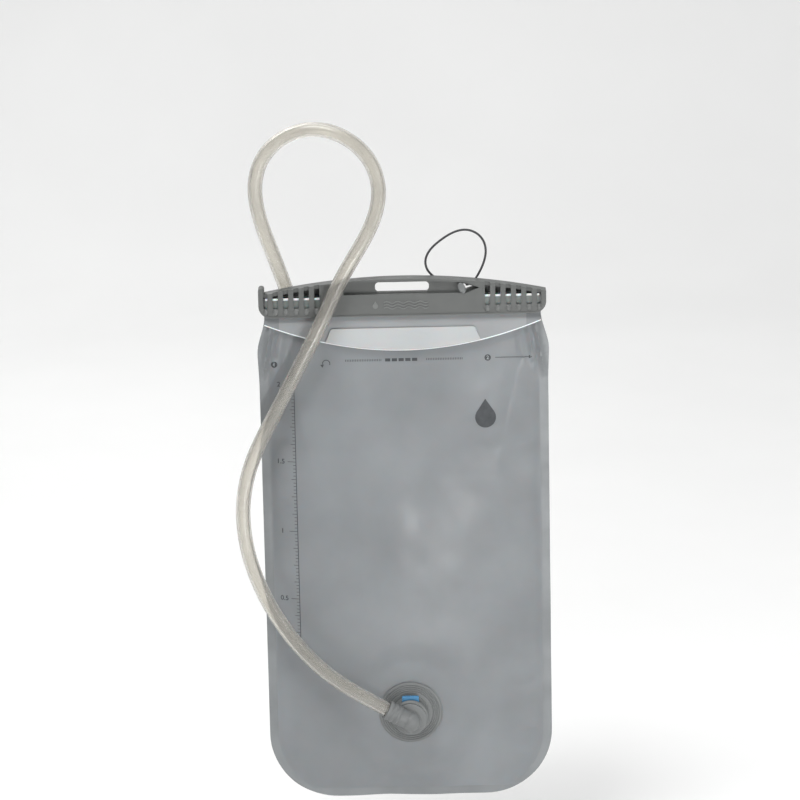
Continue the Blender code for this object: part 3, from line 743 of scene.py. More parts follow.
def make_hose():
    route = smooth_route(HOSE_ROUTE, 4 * MM)
    centres = run_on(route, HOSE_PLUGGED)
    hose = add_object(tube_mesh("hose", centres, HOSE_R, 32, HOSE_BORE_R), MATERIALS["hose"])
    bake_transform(hose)
    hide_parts("drink_hose")
    return hose, centres, route


def make_tether():
    centres = [Vector(p) for p in smooth_route(TETHER_ROUTE, 1 * MM)]
    tether = add_object(tube_mesh("tether", centres, TETHER_R, 12), MATERIALS["tether"])
    stand_for(tether, "tether_loop", "closure")
    return tether, centres


# ---- slide closure ----


def closure_top(x):
    return CLOSURE_TOP - CLOSURE_DROP * (x / CLOSURE_HALF) ** 2


def closure_outline():
    outline = [(x, closure_top(x)) for x in np.linspace(-CLOSURE_HALF, CLOSURE_HALF, 61)]
    inner = CLOSURE_HALF - CLOSURE_CORNER
    height = CLOSURE_BOTTOM + CLOSURE_CORNER
    outline += arc_points(inner, height, CLOSURE_CORNER, 0, -90)
    outline += arc_points(-inner, height, CLOSURE_CORNER, -90, -180)
    return outline


def under_arch(start_x, end_x, bottom, margin, corner=0.0):
    """The outline between two places, from bottom up to a margin under the arched top."""
    left, right = start_x + corner, end_x - corner
    outline = [(x, closure_top(x) - margin) for x in np.linspace(left, right, 17)]
    if not corner:
        return outline + [(end_x, bottom), (start_x, bottom)]
    top_right, top_left = (closure_top(x) - margin - corner for x in (end_x, start_x))
    outline += arc_points(right, top_right, corner, 90, 0, 5)[1:]
    outline += arc_points(right, bottom + corner, corner, 0, -90, 5)
    outline += arc_points(left, bottom + corner, corner, -90, -180, 5)
    return outline + arc_points(left, top_left, corner, 180, 90, 5)[:-1]


def front_recess_outline():
    outline = under_arch(*FRONT_RECESS, STEP_Z, RIM)
    outline.insert(-2, (RECESS_TIP, TOGGLE_Z))
    return outline


def post_outline():
    left, right = -CLOSURE_HALF, -CLOSURE_HALF + POST_WIDTH
    height = POST_TOP - POST_CORNER
    outline = [(right, POST_FOOT)] + arc_points(right - POST_CORNER, height, POST_CORNER, 0, 90)
    return outline + arc_points(left + POST_CORNER, height, POST_CORNER, 90, 180) + [(left, POST_FOOT)]


def panel_outline(side):
    start, end = sorted((side * POCKET_START, side * (CLOSURE_HALF - CLOSURE_END_WALL - 1 * MM)))
    return under_arch(start, end, PANEL_BOTTOM, -2 * PAST_TOP, PANEL_CORNER)


def lip_mesh(x, width):
    """The rounded thumb lip under a window."""
    ball = [(math.sin(t), -math.cos(t)) for t in np.linspace(0, math.pi, 13)]
    mesh = turned_mesh("lip", ball, 24, 0)
    mesh.transform(Matrix.Diagonal((width / 2 / MM, 1.0, LIP_HALF_HEIGHT, 1)))
    mesh.transform(Matrix.Translation((x, -CLOSURE_DEPTH / 2 + PANEL_DEPTH, LIP_Z)))
    return mesh


def window_places():
    places = [(WINDOW_FIRST + i * WINDOW_PITCH, WINDOW_WIDTH) for i in range(WINDOW_COUNT - 1)]
    return places + [(places[-1][0] + LAST_WINDOW_PITCH, LAST_WINDOW_WIDTH)]


def slot_outline():
    x = SLOT_HALF - SLOT_CORNER
    top, bottom = -SLOT_CORNER, -SLOT_HEIGHT + SLOT_CORNER
    corners = [(x, top, 90), (x, bottom, 0), (-x, bottom, -90), (-x, top, -180)]
    return [p for cx, cz, start in corners for p in arc_points(cx, cz, SLOT_CORNER, start, start - 90, 8)]


def toggle_hole_outline():
    reach = TOGGLE_HOLE_TIP - TOGGLE_X
    touch = math.degrees(math.acos(TOGGLE_HOLE_R / reach))
    outline = arc_points(TOGGLE_X, TOGGLE_Z, TOGGLE_HOLE_R, touch, 360 - touch, 24)
    return outline + [(TOGGLE_HOLE_TIP, TOGGLE_Z)]


def window_cutters(past, hollow):
    """What opens each end: the hollow above the channel, the sunk panel and its row of windows."""
    face = -CLOSURE_DEPTH / 2
    cutters = []
    for side in (-1, 1):
        start, end = sorted((side * POCKET_START, side * (CLOSURE_HALF - CLOSURE_END_WALL)))
        pocket = under_arch(start, end, POCKET_FLOOR, POCKET_ROOF)
        cutters.append(prism_mesh("pocket", pocket, -hollow, hollow))
        cutters.append(prism_mesh("panel", panel_outline(side), -past, face + PANEL_DEPTH))
        for x, width in window_places():
            left, right = side * x - width / 2, side * x + width / 2
            window = under_arch(left, right, WINDOW_BOTTOM, -PAST_TOP, WINDOW_CORNER)
            cutters.append(prism_mesh("window", window, -past, -hollow + MM))
    return cutters


def closure_cutters():
    half_depth = CLOSURE_DEPTH / 2
    past = half_depth + 1 * MM
    hollow = half_depth - CLOSURE_WALL
    start, open_end = -CLOSURE_HALF + CLOSURE_END_WALL, CLOSURE_HALF + MM
    gap = CHANNEL_SLOT_HALF
    back_recess = under_arch(*BACK_RECESS, STEP_Z, RIM, RECESS_CORNER)
    groove_z = CLOSURE_BOTTOM + GROOVE_RISE
    reach = CLOSURE_HALF - CLOSURE_CORNER
    groove_end = (reach, -half_depth + GROOVE_DEPTH, groove_z + GROOVE_HEIGHT)
    return [
        box_mesh("channel", (start, -hollow, CHANNEL_LIP_Z), (open_end, hollow, CHANNEL_TOP)),
        box_mesh("lip_gap", (start, -gap, CLOSURE_BOTTOM - MM), (open_end, gap, CHANNEL_LIP_Z + MM)),
        prism_mesh("front_recess", front_recess_outline(), -past, -WEB_DEPTH / 2),
        prism_mesh("back_recess", back_recess, WEB_DEPTH / 2, past),
        prism_mesh("hang_slot", slot_outline(), -WEB_DEPTH, WEB_DEPTH),
        prism_mesh("toggle_hole", toggle_hole_outline(), -WEB_DEPTH, WEB_DEPTH),
        *window_cutters(past, hollow),
        box_mesh("groove", (-reach, -past, groove_z), groove_end),
    ]


def emblem_meshes():
    """A plain drop and three waves, raised a little from the closure's face."""
    face = -CLOSURE_DEPTH / 2
    depths = (face - EMBLEM_RISE, face + EMBLEM_ROOT)
    drop = arc_points(EMBLEM_DROP_X, EMBLEM_Z - 0.5 * MM, EMBLEM_DROP_R, 150, 390, 20)
    drop.append((EMBLEM_DROP_X, EMBLEM_Z + 2.9 * MM))
    meshes = [prism_mesh("drop", drop, *depths)]
    share = np.linspace(0, 1, 61)
    xs = WAVES_START + share * WAVES_LENGTH
    for row in (-1, 0, 1):
        zs = EMBLEM_Z + row * WAVE_PITCH + WAVE_HEIGHT * np.sin(8 * math.pi * share)
        upper = list(zip(xs, zs + WAVE_STROKE))
        lower = list(zip(xs, zs - WAVE_STROKE))
        meshes.append(prism_mesh("wave", upper + lower[::-1], *depths))
    return meshes


def make_rails():
    """The two stiff strips welded to the fold: clearer below and painted darker there as the shade inside the
    closure, with a milky bead along the top, painted nearly white as a highlight.
    """
    near, far = -rail_high.y, -rail_low.y
    low, high = rail_low.z, rail_high.z
    bead_z = high - BEAD_HEIGHT
    web, side_z = far - RAIL_STEP, high - RAIL_STEP
    section = [
        (near, low), (web, low), (web, bead_z), (far, bead_z),
        (far, side_z), (web, high), (near + RAIL_STEP, high), (near, side_z),
    ]
    for name, node, side in (("rail_front", "front_seal_rail", -1), ("rail_back", "back_seal_rail", 1)):
        mesh = prism_mesh(name, [(-side * depth, z) for depth, z in section], rail_low.x, rail_high.x)
        mesh.transform(Matrix.Rotation(math.radians(-90), 4, "Z"))
        rail = add_object(mesh, MATERIALS["rail_web_painted_shade"], MATERIALS["bead_highlight"])
        # top faces take the bead, painted nearly white as a highlight; the rest take the web, painted darker
        # as shade
        for polygon in mesh.polygons:
            above = polygon.center.z > bead_z - 1e-6
            polygon.material_index = int(above and abs(polygon.normal.x) < 0.5)
        stand_for(rail, node, "reservoir")


def make_closure():
    half_depth = CLOSURE_DEPTH / 2
    closure = add_object(prism_mesh("closure_bar", closure_outline(), -half_depth, half_depth))
    combine(closure, [prism_mesh("post", post_outline(), -half_depth, half_depth)], "UNION")
    combine(closure, closure_cutters())
    soften(closure, CLOSURE_EDGE, 3)
    closure.data.materials.append(MATERIALS["closure"])
    stand_for(closure, "slide_closure", "closure")
    lips = [lip_mesh(side * x, width) for side in (-1, 1) for x, width in window_places()]
    # the raised emblem and lips take the glossier copy, painted lighter as a highlight
    for mesh in emblem_meshes() + lips:
        mark = add_object(mesh, MATERIALS["polished_and_highlit"], name="raised_" + mesh.name)
        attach(mark, "closure")


# ---- bag ----


def bag_half_width(z):
    shoulder_z = CLOSURE_BOTTOM - SHOULDER_RISE
    if z > shoulder_z:
        return MOUTH_HALF + (SHOULDER_HALF - MOUTH_HALF) * ease((CLOSURE_BOTTOM - z) / SHOULDER_RISE)
    if z > BAG_BOTTOM + BAG_CORNER:
        return BAG_HALF + (SHOULDER_HALF - BAG_HALF) * ease(1 - (shoulder_z - z) / SHOULDER_FADE)
    fall = BAG_BOTTOM + BAG_CORNER - z
    return BAG_HALF - BAG_CORNER + math.sqrt(max(BAG_CORNER**2 - fall**2, 0))


def belly(x, z):
    """How far each film stands off the plane of the seam."""
    inner = bag_half_width(z) - SEAM
    rise = (z - BAG_BOTTOM - SEAM) / BELLY_RISE
    if abs(x) >= inner or rise <= 0:
        return 0.0
    across = (1 - (abs(x) / inner) ** 2.2) ** 0.9
    down = ease((CLOSURE_BOTTOM - z) / BELLY_DROP)
    up = 1 - (1 - min(rise, 1)) ** 2.5
    plain = BELLY * across * down * up
    away = math.hypot(x, z - PORT_Z)
    return plain + (PORT_BELLY - plain) * ease((PORT_FADE - away) / (PORT_FADE - PORT_LAND))


def seam_distance(x, z):
    """How far a place on the bag is from its side or bottom edge."""
    return min(bag_half_width(z) - abs(x), z - BAG_BOTTOM)


def below_closure(z, start, reach):
    """0 above a height, easing to 1 as far below it as the reach."""
    return ease((start - z) / reach)


def ridge(x, z, start, end, height, width):
    """A crease's height: sharp along a line, falling off on both sides and at its ends."""
    a, b, p = Vector(start), Vector(end), Vector((x, z))
    line = b - a
    share = (p - a).dot(line) / line.length_squared
    if not 0 < share < 1:
        return 0.0
    away = (p - (a + line * share)).length
    return height * math.sin(math.pi * share) ** 0.6 * max(0, 1 - away / width) ** 1.5


def waver(*place):
    """Smooth noise at a place, from about -1 to 1."""
    return noise.noise(Vector(place))


def calm_round_port(x, z, start, reach):
    return ease((math.hypot(x, z - PORT_Z) - start) / reach)


def edge_wave(x, z):
    """Both films' common waviness along the welded edges."""
    near = ease((abs(x) - 50 * MM) / (45 * MM))
    side = 1 if x > 0 else 2
    wave = 2.2 * waver(side * 7.3, z * 26, 0.5) + 0.8 * waver(side * 3.1, z * 70, 4)
    low = ease((BAG_BOTTOM + 60 * MM - z) / (60 * MM))
    bottom = 2.0 * waver(x * 30, 9.1, 2) * low
    calm = calm_round_port(x, z, PORT_LAND, 20 * MM)
    height = (wave * near + bottom) * below_closure(z, -55 * MM, 50 * MM) * calm
    for start, end, rise, width in SHOULDER_CREASES:
        height -= ridge(abs(x), z, start, end, rise, width)
    return height * MM


def ripple(x, z, side):
    """One film's own undulation. Positive stands further off the seam's plane."""
    seed = 3.7 if side < 0 else 21.4
    soft = 1.9 * waver(x * 17, z * 12, seed) + 0.6 * waver(x * 42, z * 30, seed + 5)
    edge = seam_distance(x, z)
    gap = edge - SEAM
    if edge >= z - BAG_BOTTOM:
        pucker = waver(x * 95, seed, z * 12)
    else:
        pucker = waver(seed, z * 95, x * 12) + 0.5 * waver(seed, z * 210, x * 20)
    puckers = 1.5 * pucker * math.exp(-max(gap, 0) / (16 * MM))
    height = (soft + puckers) * below_closure(z, -48 * MM, 45 * MM)
    height += ridge(abs(x), z, (80 * MM, -40 * MM), (58 * MM, -135 * MM), 1.1, 13 * MM)
    return height * MM * calm_round_port(x, z, PORT_LAND * 0.8, 25 * MM) * ease(gap / (9 * MM))


def film_y(x, z, side):
    """Y of the middle of the front film, side -1, or of the back film, side 1, below the fold."""
    gap = seam_distance(x, z) - SEAM
    inside = ease(gap / (5 * MM))
    upper = ease((z - CLOSURE_BOTTOM + 30 * MM) / (20 * MM))
    apart = SEAM_PITCH + (FILM_PITCH - SEAM_PITCH) * max(inside, upper)
    return BAG_PLANE + edge_wave(x, z) + side * (apart / 2 + belly(x, z) + ripple(x, z, side))


def flap_edge(x):
    return FLAP_EDGE - FLAP_SAG * (1 - (x / MOUTH_HALF) ** 2)


def flap_y(x, z, pitches):
    room = TAB_ROOM * ease((CLOSURE_BOTTOM - z) / (5 * MM))
    return -pitches * FILM_PITCH - belly(x, z) - room


def main_heights():
    """Heights of the film's rows: close together round the bottom corners, even above them."""
    corner = [BAG_BOTTOM + BAG_CORNER * (1 - math.cos(a)) for a in np.linspace(0, math.pi / 2, 20)]
    straight = np.linspace(BAG_BOTTOM + BAG_CORNER, CLOSURE_BOTTOM, 118)
    inside = np.linspace(CLOSURE_BOTTOM, FOLD_Z, 5)
    return corner + list(straight[1:]) + list(inside[1:])


def gathered(reach, count):
    """Shares from -1 to 1, closer together near both ends. A reach of 0.5 gathers them most."""
    return [math.sin(reach * math.pi * u) / math.sin(reach * math.pi) for u in np.linspace(-1, 1, count)]


def film_rows(side):
    radius = (0.5 if side < 0 else 1.5) * FILM_PITCH
    rows = []
    columns = gathered(0.43, 85)
    for z in main_heights():
        half = bag_half_width(z)
        rows.append([(u * half, film_y(u * half, z, side), z) for u in columns])
    for i in range(1, 12):
        angle = math.pi * i / 12
        y, z = radius * math.cos(angle), FOLD_Z + radius * math.sin(angle)
        rows.append([(u * MOUTH_HALF, y, z) for u in columns])
    for z in np.linspace(FOLD_Z, CLOSURE_BOTTOM, 5):
        rows.append([(u * MOUTH_HALF, -radius, z) for u in columns])
    for share in list(np.linspace(0, 1, 12)[1:]) + [None]:
        row = []
        for x in (u * MOUTH_HALF for u in columns):
            edge = flap_edge(x)
            z = edge if share is None else CLOSURE_BOTTOM + share * (edge + FLAP_EDGE_HIGHLIGHT - CLOSURE_BOTTOM)
            row.append((x, flap_y(x, z, radius / FILM_PITCH), z))
        rows.append(row)
    return rows


def grid_mesh(name, rows):
    columns = len(rows[0])
    points = [p for row in rows for p in row]
    starts = [r * columns + c for r in range(len(rows) - 1) for c in range(columns - 1)]
    return mesh_from(name, points, [(a, a + 1, a + columns + 1, a + columns) for a in starts], 60)


def thicken(item, thickness, rim=0, even=True):
    """Gives a sheet its thickness. Its cut edges take the material this many further on."""
    modify(
        item, "SOLIDIFY", thickness=thickness, offset=0, use_even_offset=even, material_offset_rim=rim
    )
    baked(item, 60)


def film_layer(row, last, main_rows, centre):
    """Which of a film's materials a face takes: film, weld, flap, or the bead layer, a painted highlight
    along the flap's cut edge.
    """
    # the flap's last row is painted nearly white: a painted highlight along its cut edge
    if row == last:
        return 3
    if row >= main_rows:
        return 2 if abs(centre.x) < MOUTH_HALF - FLAP_WELD else 1
    return int(seam_distance(centre.x, centre.z) < SEAM and centre.z < CLOSURE_BOTTOM)


def make_film(name, node, side):
    rows = film_rows(side)
    layers = [MATERIALS[key] for key in ("film", "weld", "flap", "bead_highlight")]
    film = add_object(grid_mesh(name, rows), *layers)
    columns = len(rows[0])
    main_rows = len(main_heights())
    for polygon in film.data.polygons:
        row = polygon.index // (columns - 1)
        polygon.material_index = film_layer(row, len(rows) - 2, main_rows, polygon.center)
    # a cut edge catches the light, so it takes a lighter layer
    thicken(film, FILM, 2)
    if side < 0:
        reach = PORT_HOLE_R / MM
        hole = turned_mesh("port_hole", [(0, -6), (reach, -6), (reach, 6), (0, 6)], 64)
        hole.transform(port_frame())
        combine(film, [hole])
    stand_for(film, node, "reservoir")
    return film


def make_tab(name, node, pitches):
    """A stiff strip along the mouth's edge, with rounded upper corners."""
    rows = []
    for share in np.linspace(0, 1, 13):
        row = []
        half = TAB_HALF + TAB_SLANT * share
        for x in (half * u for u in gathered(0.45, 81)):
            cut = max(0, abs(x) - (half - TAB_CORNER)) / TAB_CORNER
            top = TAB_TOP - TAB_CORNER * (1 - math.sqrt(1 - min(cut, 1) ** 2))
            z = top + share * (flap_edge(x) + TAB_EDGE - top)
            row.append((x, flap_y(x, z, pitches), z))
        rows.append(row)
    tab = add_object(grid_mesh(name, rows), MATERIALS["rail"])
    thicken(tab, TAB, even=False)
    stand_for(tab, node, "reservoir")


# ---- port: heights are along its axis, outwards from the film's outer face ----


def port_frame():
    return Matrix.Translation((0, PORT_FACE, PORT_Z)) @ Matrix.Rotation(math.radians(90), 4, "X")


def port_piece(node, meshes, slot, body):
    """A piece of the port, made of closed meshes in its frame and standing for a CAD node."""
    piece = add_object(meshes[0])
    if meshes[1:]:
        combine(piece, meshes[1:], "UNION")
    finish_piece(piece, node, port_frame(), slot, body)


def finish_piece(piece, node, place, slot, body):
    piece.data.transform(place)
    clothe(piece, MATERIALS[slot])
    stand_for(piece, node, body)


def clothe(piece, material):
    piece.data.materials.clear()
    piece.data.materials.append(material)


def make_flange():
    """A welding disc with rings in its face and a barrel that reaches into the bag."""
    profile = [(21, 0.3), (21, 1.1), (20.2, 1.5)]
    for r in (19.2, 17.9, 16.6, 15.3):
        profile += [(r, 1.5), (r - 0.25, 1.15), (r - 0.65, 1.15), (r - 0.9, 1.5)]
    profile += [(4.4, 1.5), (4.4, -0.6), (7.3, -0.6), (7.3, -13), (9.6, -13), (9.6, 0.3)]
    mesh = turned_mesh("port_disc", profile, 96, 0.2)
    port_piece("port_flange", [mesh], "fitting", "reservoir")


def make_housing():
    """The socket, with a window for the button at its top and grip grooves round the rest of it."""
    profile = [
        (12, 1.8), (12, 4.2), (11.6, 4.6), (11.6, 10.2), (12, 10.6), (12, 11.6), (11.2, 12.8), (7.6, 12.8),
        (7.6, 2.8), (4.4, 2.8), (4.4, 1.8),
    ]
    housing = add_object(turned_mesh("port_socket", profile, 96, 0.3))
    window = box_mesh("button_window", (-6 * MM, 5 * MM, 6.4 * MM), (6 * MM, 14 * MM, 9.6 * MM))
    places = [Vector((math.sin(a), math.cos(a), 0)) * GRIP_AXIS_R for a in np.linspace(*GRIP_SWEEP, GRIPS)]
    groove = [(0, 5.2), (0.55, 5.2), (0.55, 9.6), (0, 9.6)]
    combine(housing, [window] + turned_copies("grip", groove, places, 12, 0.2))
    finish_piece(housing, "port_housing", port_frame(), "fitting", "reservoir")


def make_button():
    body = box_mesh("port_button", (-5.6 * MM, 8.4 * MM, 6.8 * MM), (5.6 * MM, 13.9 * MM, 9.2 * MM))
    button = add_object(body)
    soften(button, 0.6 * MM, 4)
    places = [(x * MM, 13.85 * MM, 8 * MM) for x in (-3, -1.5, 0, 1.5, 3)]
    rib = [(0, -1), (0.35, -0.8), (0.35, 0.8), (0, 1)]
    combine(button, turned_copies("rib", rib, places, 16, 0.2), "UNION")
    finish_piece(button, "release_button", port_frame(), "accent", "button")


def elbow_centres(out):
    """The bend's middle line: along the port's axis, round a quarter circle and on towards out."""
    axis = Vector((0, 0, 1))
    turn = axis * (ELBOW_OUT - ELBOW_BEND_R)
    centres = [axis * h for h in np.linspace(12.5 * MM, turn.z, 5)]
    for angle in np.linspace(0, math.pi / 2, 13)[1:]:
        step = axis * math.sin(angle) + out * (1 - math.cos(angle))
        centres.append(turn + step * ELBOW_BEND_R)
    return centres + [axis * ELBOW_OUT + out * r for r in np.linspace(ELBOW_BEND_R + MM, 11 * MM, 5)]


def make_elbow():
    """The plug: a barrel with two seal grooves, a collar, a swept bend and a socket for the hose."""
    barrel = [
        (3.4, 3.0), (6.0, 3.0), (6.6, 3.6), (6.6, 4.2), (5.4, 4.2), (5.4, 6.2), (6.6, 6.2), (6.6, 9.8),
        (5.4, 9.8), (5.4, 11.8), (6.6, 11.8), (6.6, 13.2), (10.5, 13.2), (10.5, 15), (6.4, 15), (6.4, 16),
        (3.4, 16),
    ]
    reach = ELBOW_REACH / MM
    socket = [
        (0, 8.6), (5.9, 8.6), (6.5, 9.4), (6.5, 10.6), (6.1, 11), (6.1, 12.2), (6.5, 12.6), (6.5, 13.8),
        (6.1, 14.2), (6.1, 15.4), (6.5, 15.8), (6.5, reach - 0.4), (6.1, reach), (4.85, reach), (4.85, 11.4),
        (0, 11.4),
    ]
    middle = Matrix.Translation((0, 0, ELBOW_OUT))
    aim = Matrix.Rotation(ELBOW_ANGLE, 4, "Z") @ Matrix.Rotation(math.radians(90), 4, "Y")
    socket = turned_mesh("socket", socket, 64, 0.25)
    socket.transform(middle @ aim)
    ball = [(6.6 * math.sin(a), -6.6 * math.cos(a)) for a in np.linspace(0, math.pi, 25)]
    knuckle = turned_mesh("knuckle", ball, 48, 0)
    knuckle.transform(middle @ Matrix.Scale(0.98, 4))
    bend = tube_mesh("bend", elbow_centres(aim @ Vector((0, 0, 1))), ELBOW_BEND_R, 48)
    meshes = [turned_mesh("elbow", barrel, 72, 0.3), bend, knuckle, socket]
    port_piece("plug_elbow", meshes, "fitting", "plug")


def make_spring():
    """The poppet's spring, a fixed coil; in the real valve it flattens against its retainer as the poppet
    lifts.
    """
    low, high = -10.7 * MM, -4.1 * MM
    radius, turns = 4.2 * MM, 4.5
    coil = [
        (radius * math.cos(angle), radius * math.sin(angle), height)
        for angle, height in zip(np.linspace(0, 2 * math.pi * turns, 181), np.linspace(low, high, 181))
    ]
    mesh = tube_mesh("spring", coil, 0.25 * MM, 12)
    mesh.transform(port_frame())
    spring = add_object(mesh, MATERIALS["spring"])
    stand_for(spring, "poppet_spring", "reservoir")
    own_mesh(spring)


# ---- bite valve: heights are along the hose's end, outwards from its end face ----


def valve_frame(route):
    """The CAD's frame at the end of the hose, from points as far apart as the CAD's."""
    end, before = Vector(route[-1]), Vector(route[-2])
    return Matrix.LocRotScale(end, (end - before).to_track_quat("Z", "Y"), None)


def make_valve_tube(place):
    profile = [
        (7, 0.3), (7.6, 1.2), (7.6, 2.4), (7.2, 2.8), (7.2, 3.6), (7.6, 4), (7.6, 7), (7, 8), (5, 8), (5, 24),
        (4, 24), (4, 26), (5, 26), (5, 29), (2.5, 29), (2.5, 8), (4.85, 7.4), (4.85, 0.3),
    ]
    tube = add_object(turned_mesh("valve_tube", profile, 72, 0.3))
    finish_piece(tube, "valve_body", place, "fitting", "reservoir")


def make_valve_collar(place):
    profile = [(9, 8.4), (9.6, 9.4), (9.6, 23), (9, 24), (6.8, 24), (6.8, 33), (5.5, 33), (5.5, 8.4)]
    collar = add_object(turned_mesh("valve_collar", profile, 96, 0.3))
    angles = [2 * math.pi * i / COLLAR_GRIPS for i in range(COLLAR_GRIPS)]
    places = [Vector((math.cos(a), math.sin(a), 0)) * COLLAR_GRIP_AXIS_R for a in angles]
    groove = [(0, 10.6), (0.75, 11.6), (0.75, 21), (0, 22)]
    combine(collar, turned_copies("groove", groove, places, 12, 0.3))
    finish_piece(collar, "twist_collar", place, "accent", "collar")


def make_mouthpiece(place):
    """The soft sheath, wider and flatter towards its slit end."""
    profile = [
        (8.6, 24.4), (9.2, 25.2), (9.2, 27), (8.8, 27.6), (9.0, 33), (8.0, 40), (7.6, 46), (8.2, 51),
        (8.0, 54), (6.4, 56), (0, 56.4), (0, 52.5), (5.6, 51), (6.0, 44), (7.1, 36), (7.1, 24.4),
    ]
    mesh = turned_mesh("mouthpiece", profile, 96, 1.4)
    for vertex in mesh.vertices:
        share = ease((vertex.co.z - 34 * MM) / (14 * MM))
        vertex.co.x *= 1 + 0.3 * share
        vertex.co.y *= 1 - 0.25 * share
    mouthpiece = add_object(mesh)
    combine(mouthpiece, [box_mesh("slit", (-5.5 * MM, -0.12 * MM, 50 * MM), (5.5 * MM, 0.12 * MM, 58 * MM))])
    finish_piece(mouthpiece, "bite_sheath", place, "silicone", "collar")


# ---- toggle and the CAD's own small parts ----


def make_toggle():
    """The toggle: an oval button, tilted, with a neck through the web."""
    neck = (WEB_DEPTH / 2) / MM + 0.3
    profile = [
        (0, -6.6), (2.6, -6.5), (3.7, -6.0), (3.8, -5.3), (1.6, -5.3), (1.6, -2.7), (2.7, -2.7),
        (2.7, -neck), (1.3, -neck), (1.3, neck), (2.1, neck), (2.3, 3.2), (2.1, 4.6), (0, 4.9),
    ]
    mesh = turned_mesh("toggle", profile, 48, 0.4)
    mesh.transform(Matrix.Diagonal((0.62, 1, 1, 1)))
    mesh.transform(Matrix.Rotation(math.radians(-90), 4, "X"))
    mesh.transform(Matrix.Rotation(math.radians(-25), 4, "Y"))
    place = Matrix.Translation((TOGGLE_X, 0, TOGGLE_Z))
    finish_piece(add_object(mesh), "tether_toggle", place, "fitting", "closure")


def finish_cad_nodes():
    """The inner pieces keep their CAD shape and take real finishes; the fittings also have their edges
    softened.
    """
    kept = {
        "fitting": ("poppet", "spring_retainer"),
        "seal": ("poppet_seal", "plug_seal_inner", "plug_seal_outer", "valve_seal"),
    }
    for slot, names in kept.items():
        for name in names:
            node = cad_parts[name]
            clothe(node, MATERIALS[slot])
            modify(node, "WELD", merge_threshold=1e-6)
            if slot == "fitting":
                bevel(node, 0.15 * MM, 2)


# ---- print on the front film ----


class Print:
    """Flat ink marks, laid on the front film's outer face."""

    def __init__(self):
        self.points = []
        self.faces = []

    def add(self, outline_points, faces):
        base = len(self.points)
        self.points += outline_points
        self.faces += [tuple(base + i for i in face) for face in faces]

    def band(self, pairs):
        """A strip through pairs of points, one on each of its sides."""
        points = [point for pair in pairs for point in pair]
        self.add(points, [(2 * i, 2 * i + 1, 2 * i + 3, 2 * i + 2) for i in range(len(pairs) - 1)])

    def line(self, start, end, width):
        """A straight bar, cut into short steps so that it follows the film."""
        a, b = Vector(start), Vector(end)
        steps = max(1, math.ceil((b - a).length / (2 * MM)))
        across = Vector((-(b - a).y, (b - a).x)).normalized() * width / 2
        middles = [a.lerp(b, i / steps) for i in range(steps + 1)]
        self.band([(tuple(middle + across), tuple(middle - across)) for middle in middles])

    def dashes(self, start_x, end_x, z, dash, gap, width):
        x = start_x
        while x + dash <= end_x + 1e-6:
            self.line((x, z), (x + dash, z), width)
            x += dash + gap

    def arc(self, center, radius, start, end, width):
        edges = [arc_points(*center, r, start, end, 24) for r in (radius - width / 2, radius + width / 2)]
        self.band(list(zip(*edges)))

    def arrow_head(self, tip, direction, size):
        ahead = Vector(direction).normalized()
        across = Vector((-ahead.y, ahead.x)) * size * 0.6
        back = Vector(tip) - ahead * size
        self.add([tuple(tip), tuple(back + across), tuple(back - across)], [(0, 1, 2)])

    def disc(self, center, radius, steps=24):
        points = [tuple(center)]
        for r in (radius / 2, radius):
            points += arc_points(*center, r, 0, 360 - 360 / steps, steps - 1)
        pairs = [(i + 1, (i + 1) % steps + 1) for i in range(steps)]
        faces = [(0, a, b) for a, b in pairs]
        self.add(points, faces + [(a, a + steps, b + steps, b) for a, b in pairs])

    def digit(self, text, center, height):
        """A numeral, from Blender's own font."""
        data = bpy.data.curves.new("numeral", "FONT")
        data.body = text
        data.size = height * 1.4
        data.align_x = "CENTER"
        data.align_y = "CENTER"
        data.offset = height * 0.02
        item = add_object(data)
        bpy.context.view_layer.update()
        mesh = item.to_mesh()
        points = [(center[0] + v.co.x, center[1] + v.co.y) for v in mesh.vertices]
        faces = [tuple(p.vertices) for p in mesh.polygons]
        item.to_mesh_clear()
        bpy.data.objects.remove(item)
        self.add(points, faces)

    def drop(self, center, height):
        """A plain water drop: round below, drawn to a point above."""
        radius = height * 0.36
        low = (center[0], center[1] - height / 2 + radius)
        tip = height - radius
        touch = math.degrees(math.asin(radius / tip))
        outline = arc_points(*low, radius, 180 - touch, 360 + touch, 28)
        outline.append((center[0], low[1] + tip))
        count = len(outline)
        self.add([low] + outline, [(0, i + 1, (i + 1) % count + 1) for i in range(count)])

    def mesh(self, name, film, lift):
        points = []
        for x, z in self.points:
            _, place, _, _ = film.ray_cast((x, -0.2, z), (0, 1, 0))
            points.append((x, place.y - lift, z))
        return mesh_from(name, points, self.faces)


def print_signs(ink, pale):
    """The fill line and the two closing steps' signs: fold over, and slide shut."""
    for start, end in ((-38, -14), (15, 38.5)):
        ink.dashes(start * MM, end * MM, FILL_LINE_Z, 0.4 * MM, 0.7 * MM, 1.4 * MM)
    ink.dashes(-12 * MM, 13 * MM, FILL_LINE_Z, 3.4 * MM, 1.0 * MM, 2.0 * MM)
    for number, place in (("1", STEP_ONE), ("2", STEP_TWO)):
        ink.disc(place, 2.1 * MM)
        pale.digit(number, place, 2.5 * MM)
    ink.arc(CURL, 2.4 * MM, -20, 190, 0.5 * MM)
    ink.arrow_head((CURL[0] - 2.5 * MM, CURL[1] - 2.6 * MM), (0.1, -1), 2.0 * MM)
    arrow_z = STEP_TWO[1]
    ink.line((60 * MM, arrow_z), (82 * MM, arrow_z), 0.4 * MM)
    ink.arrow_head((84 * MM, arrow_z), (1, 0), 2.1 * MM)


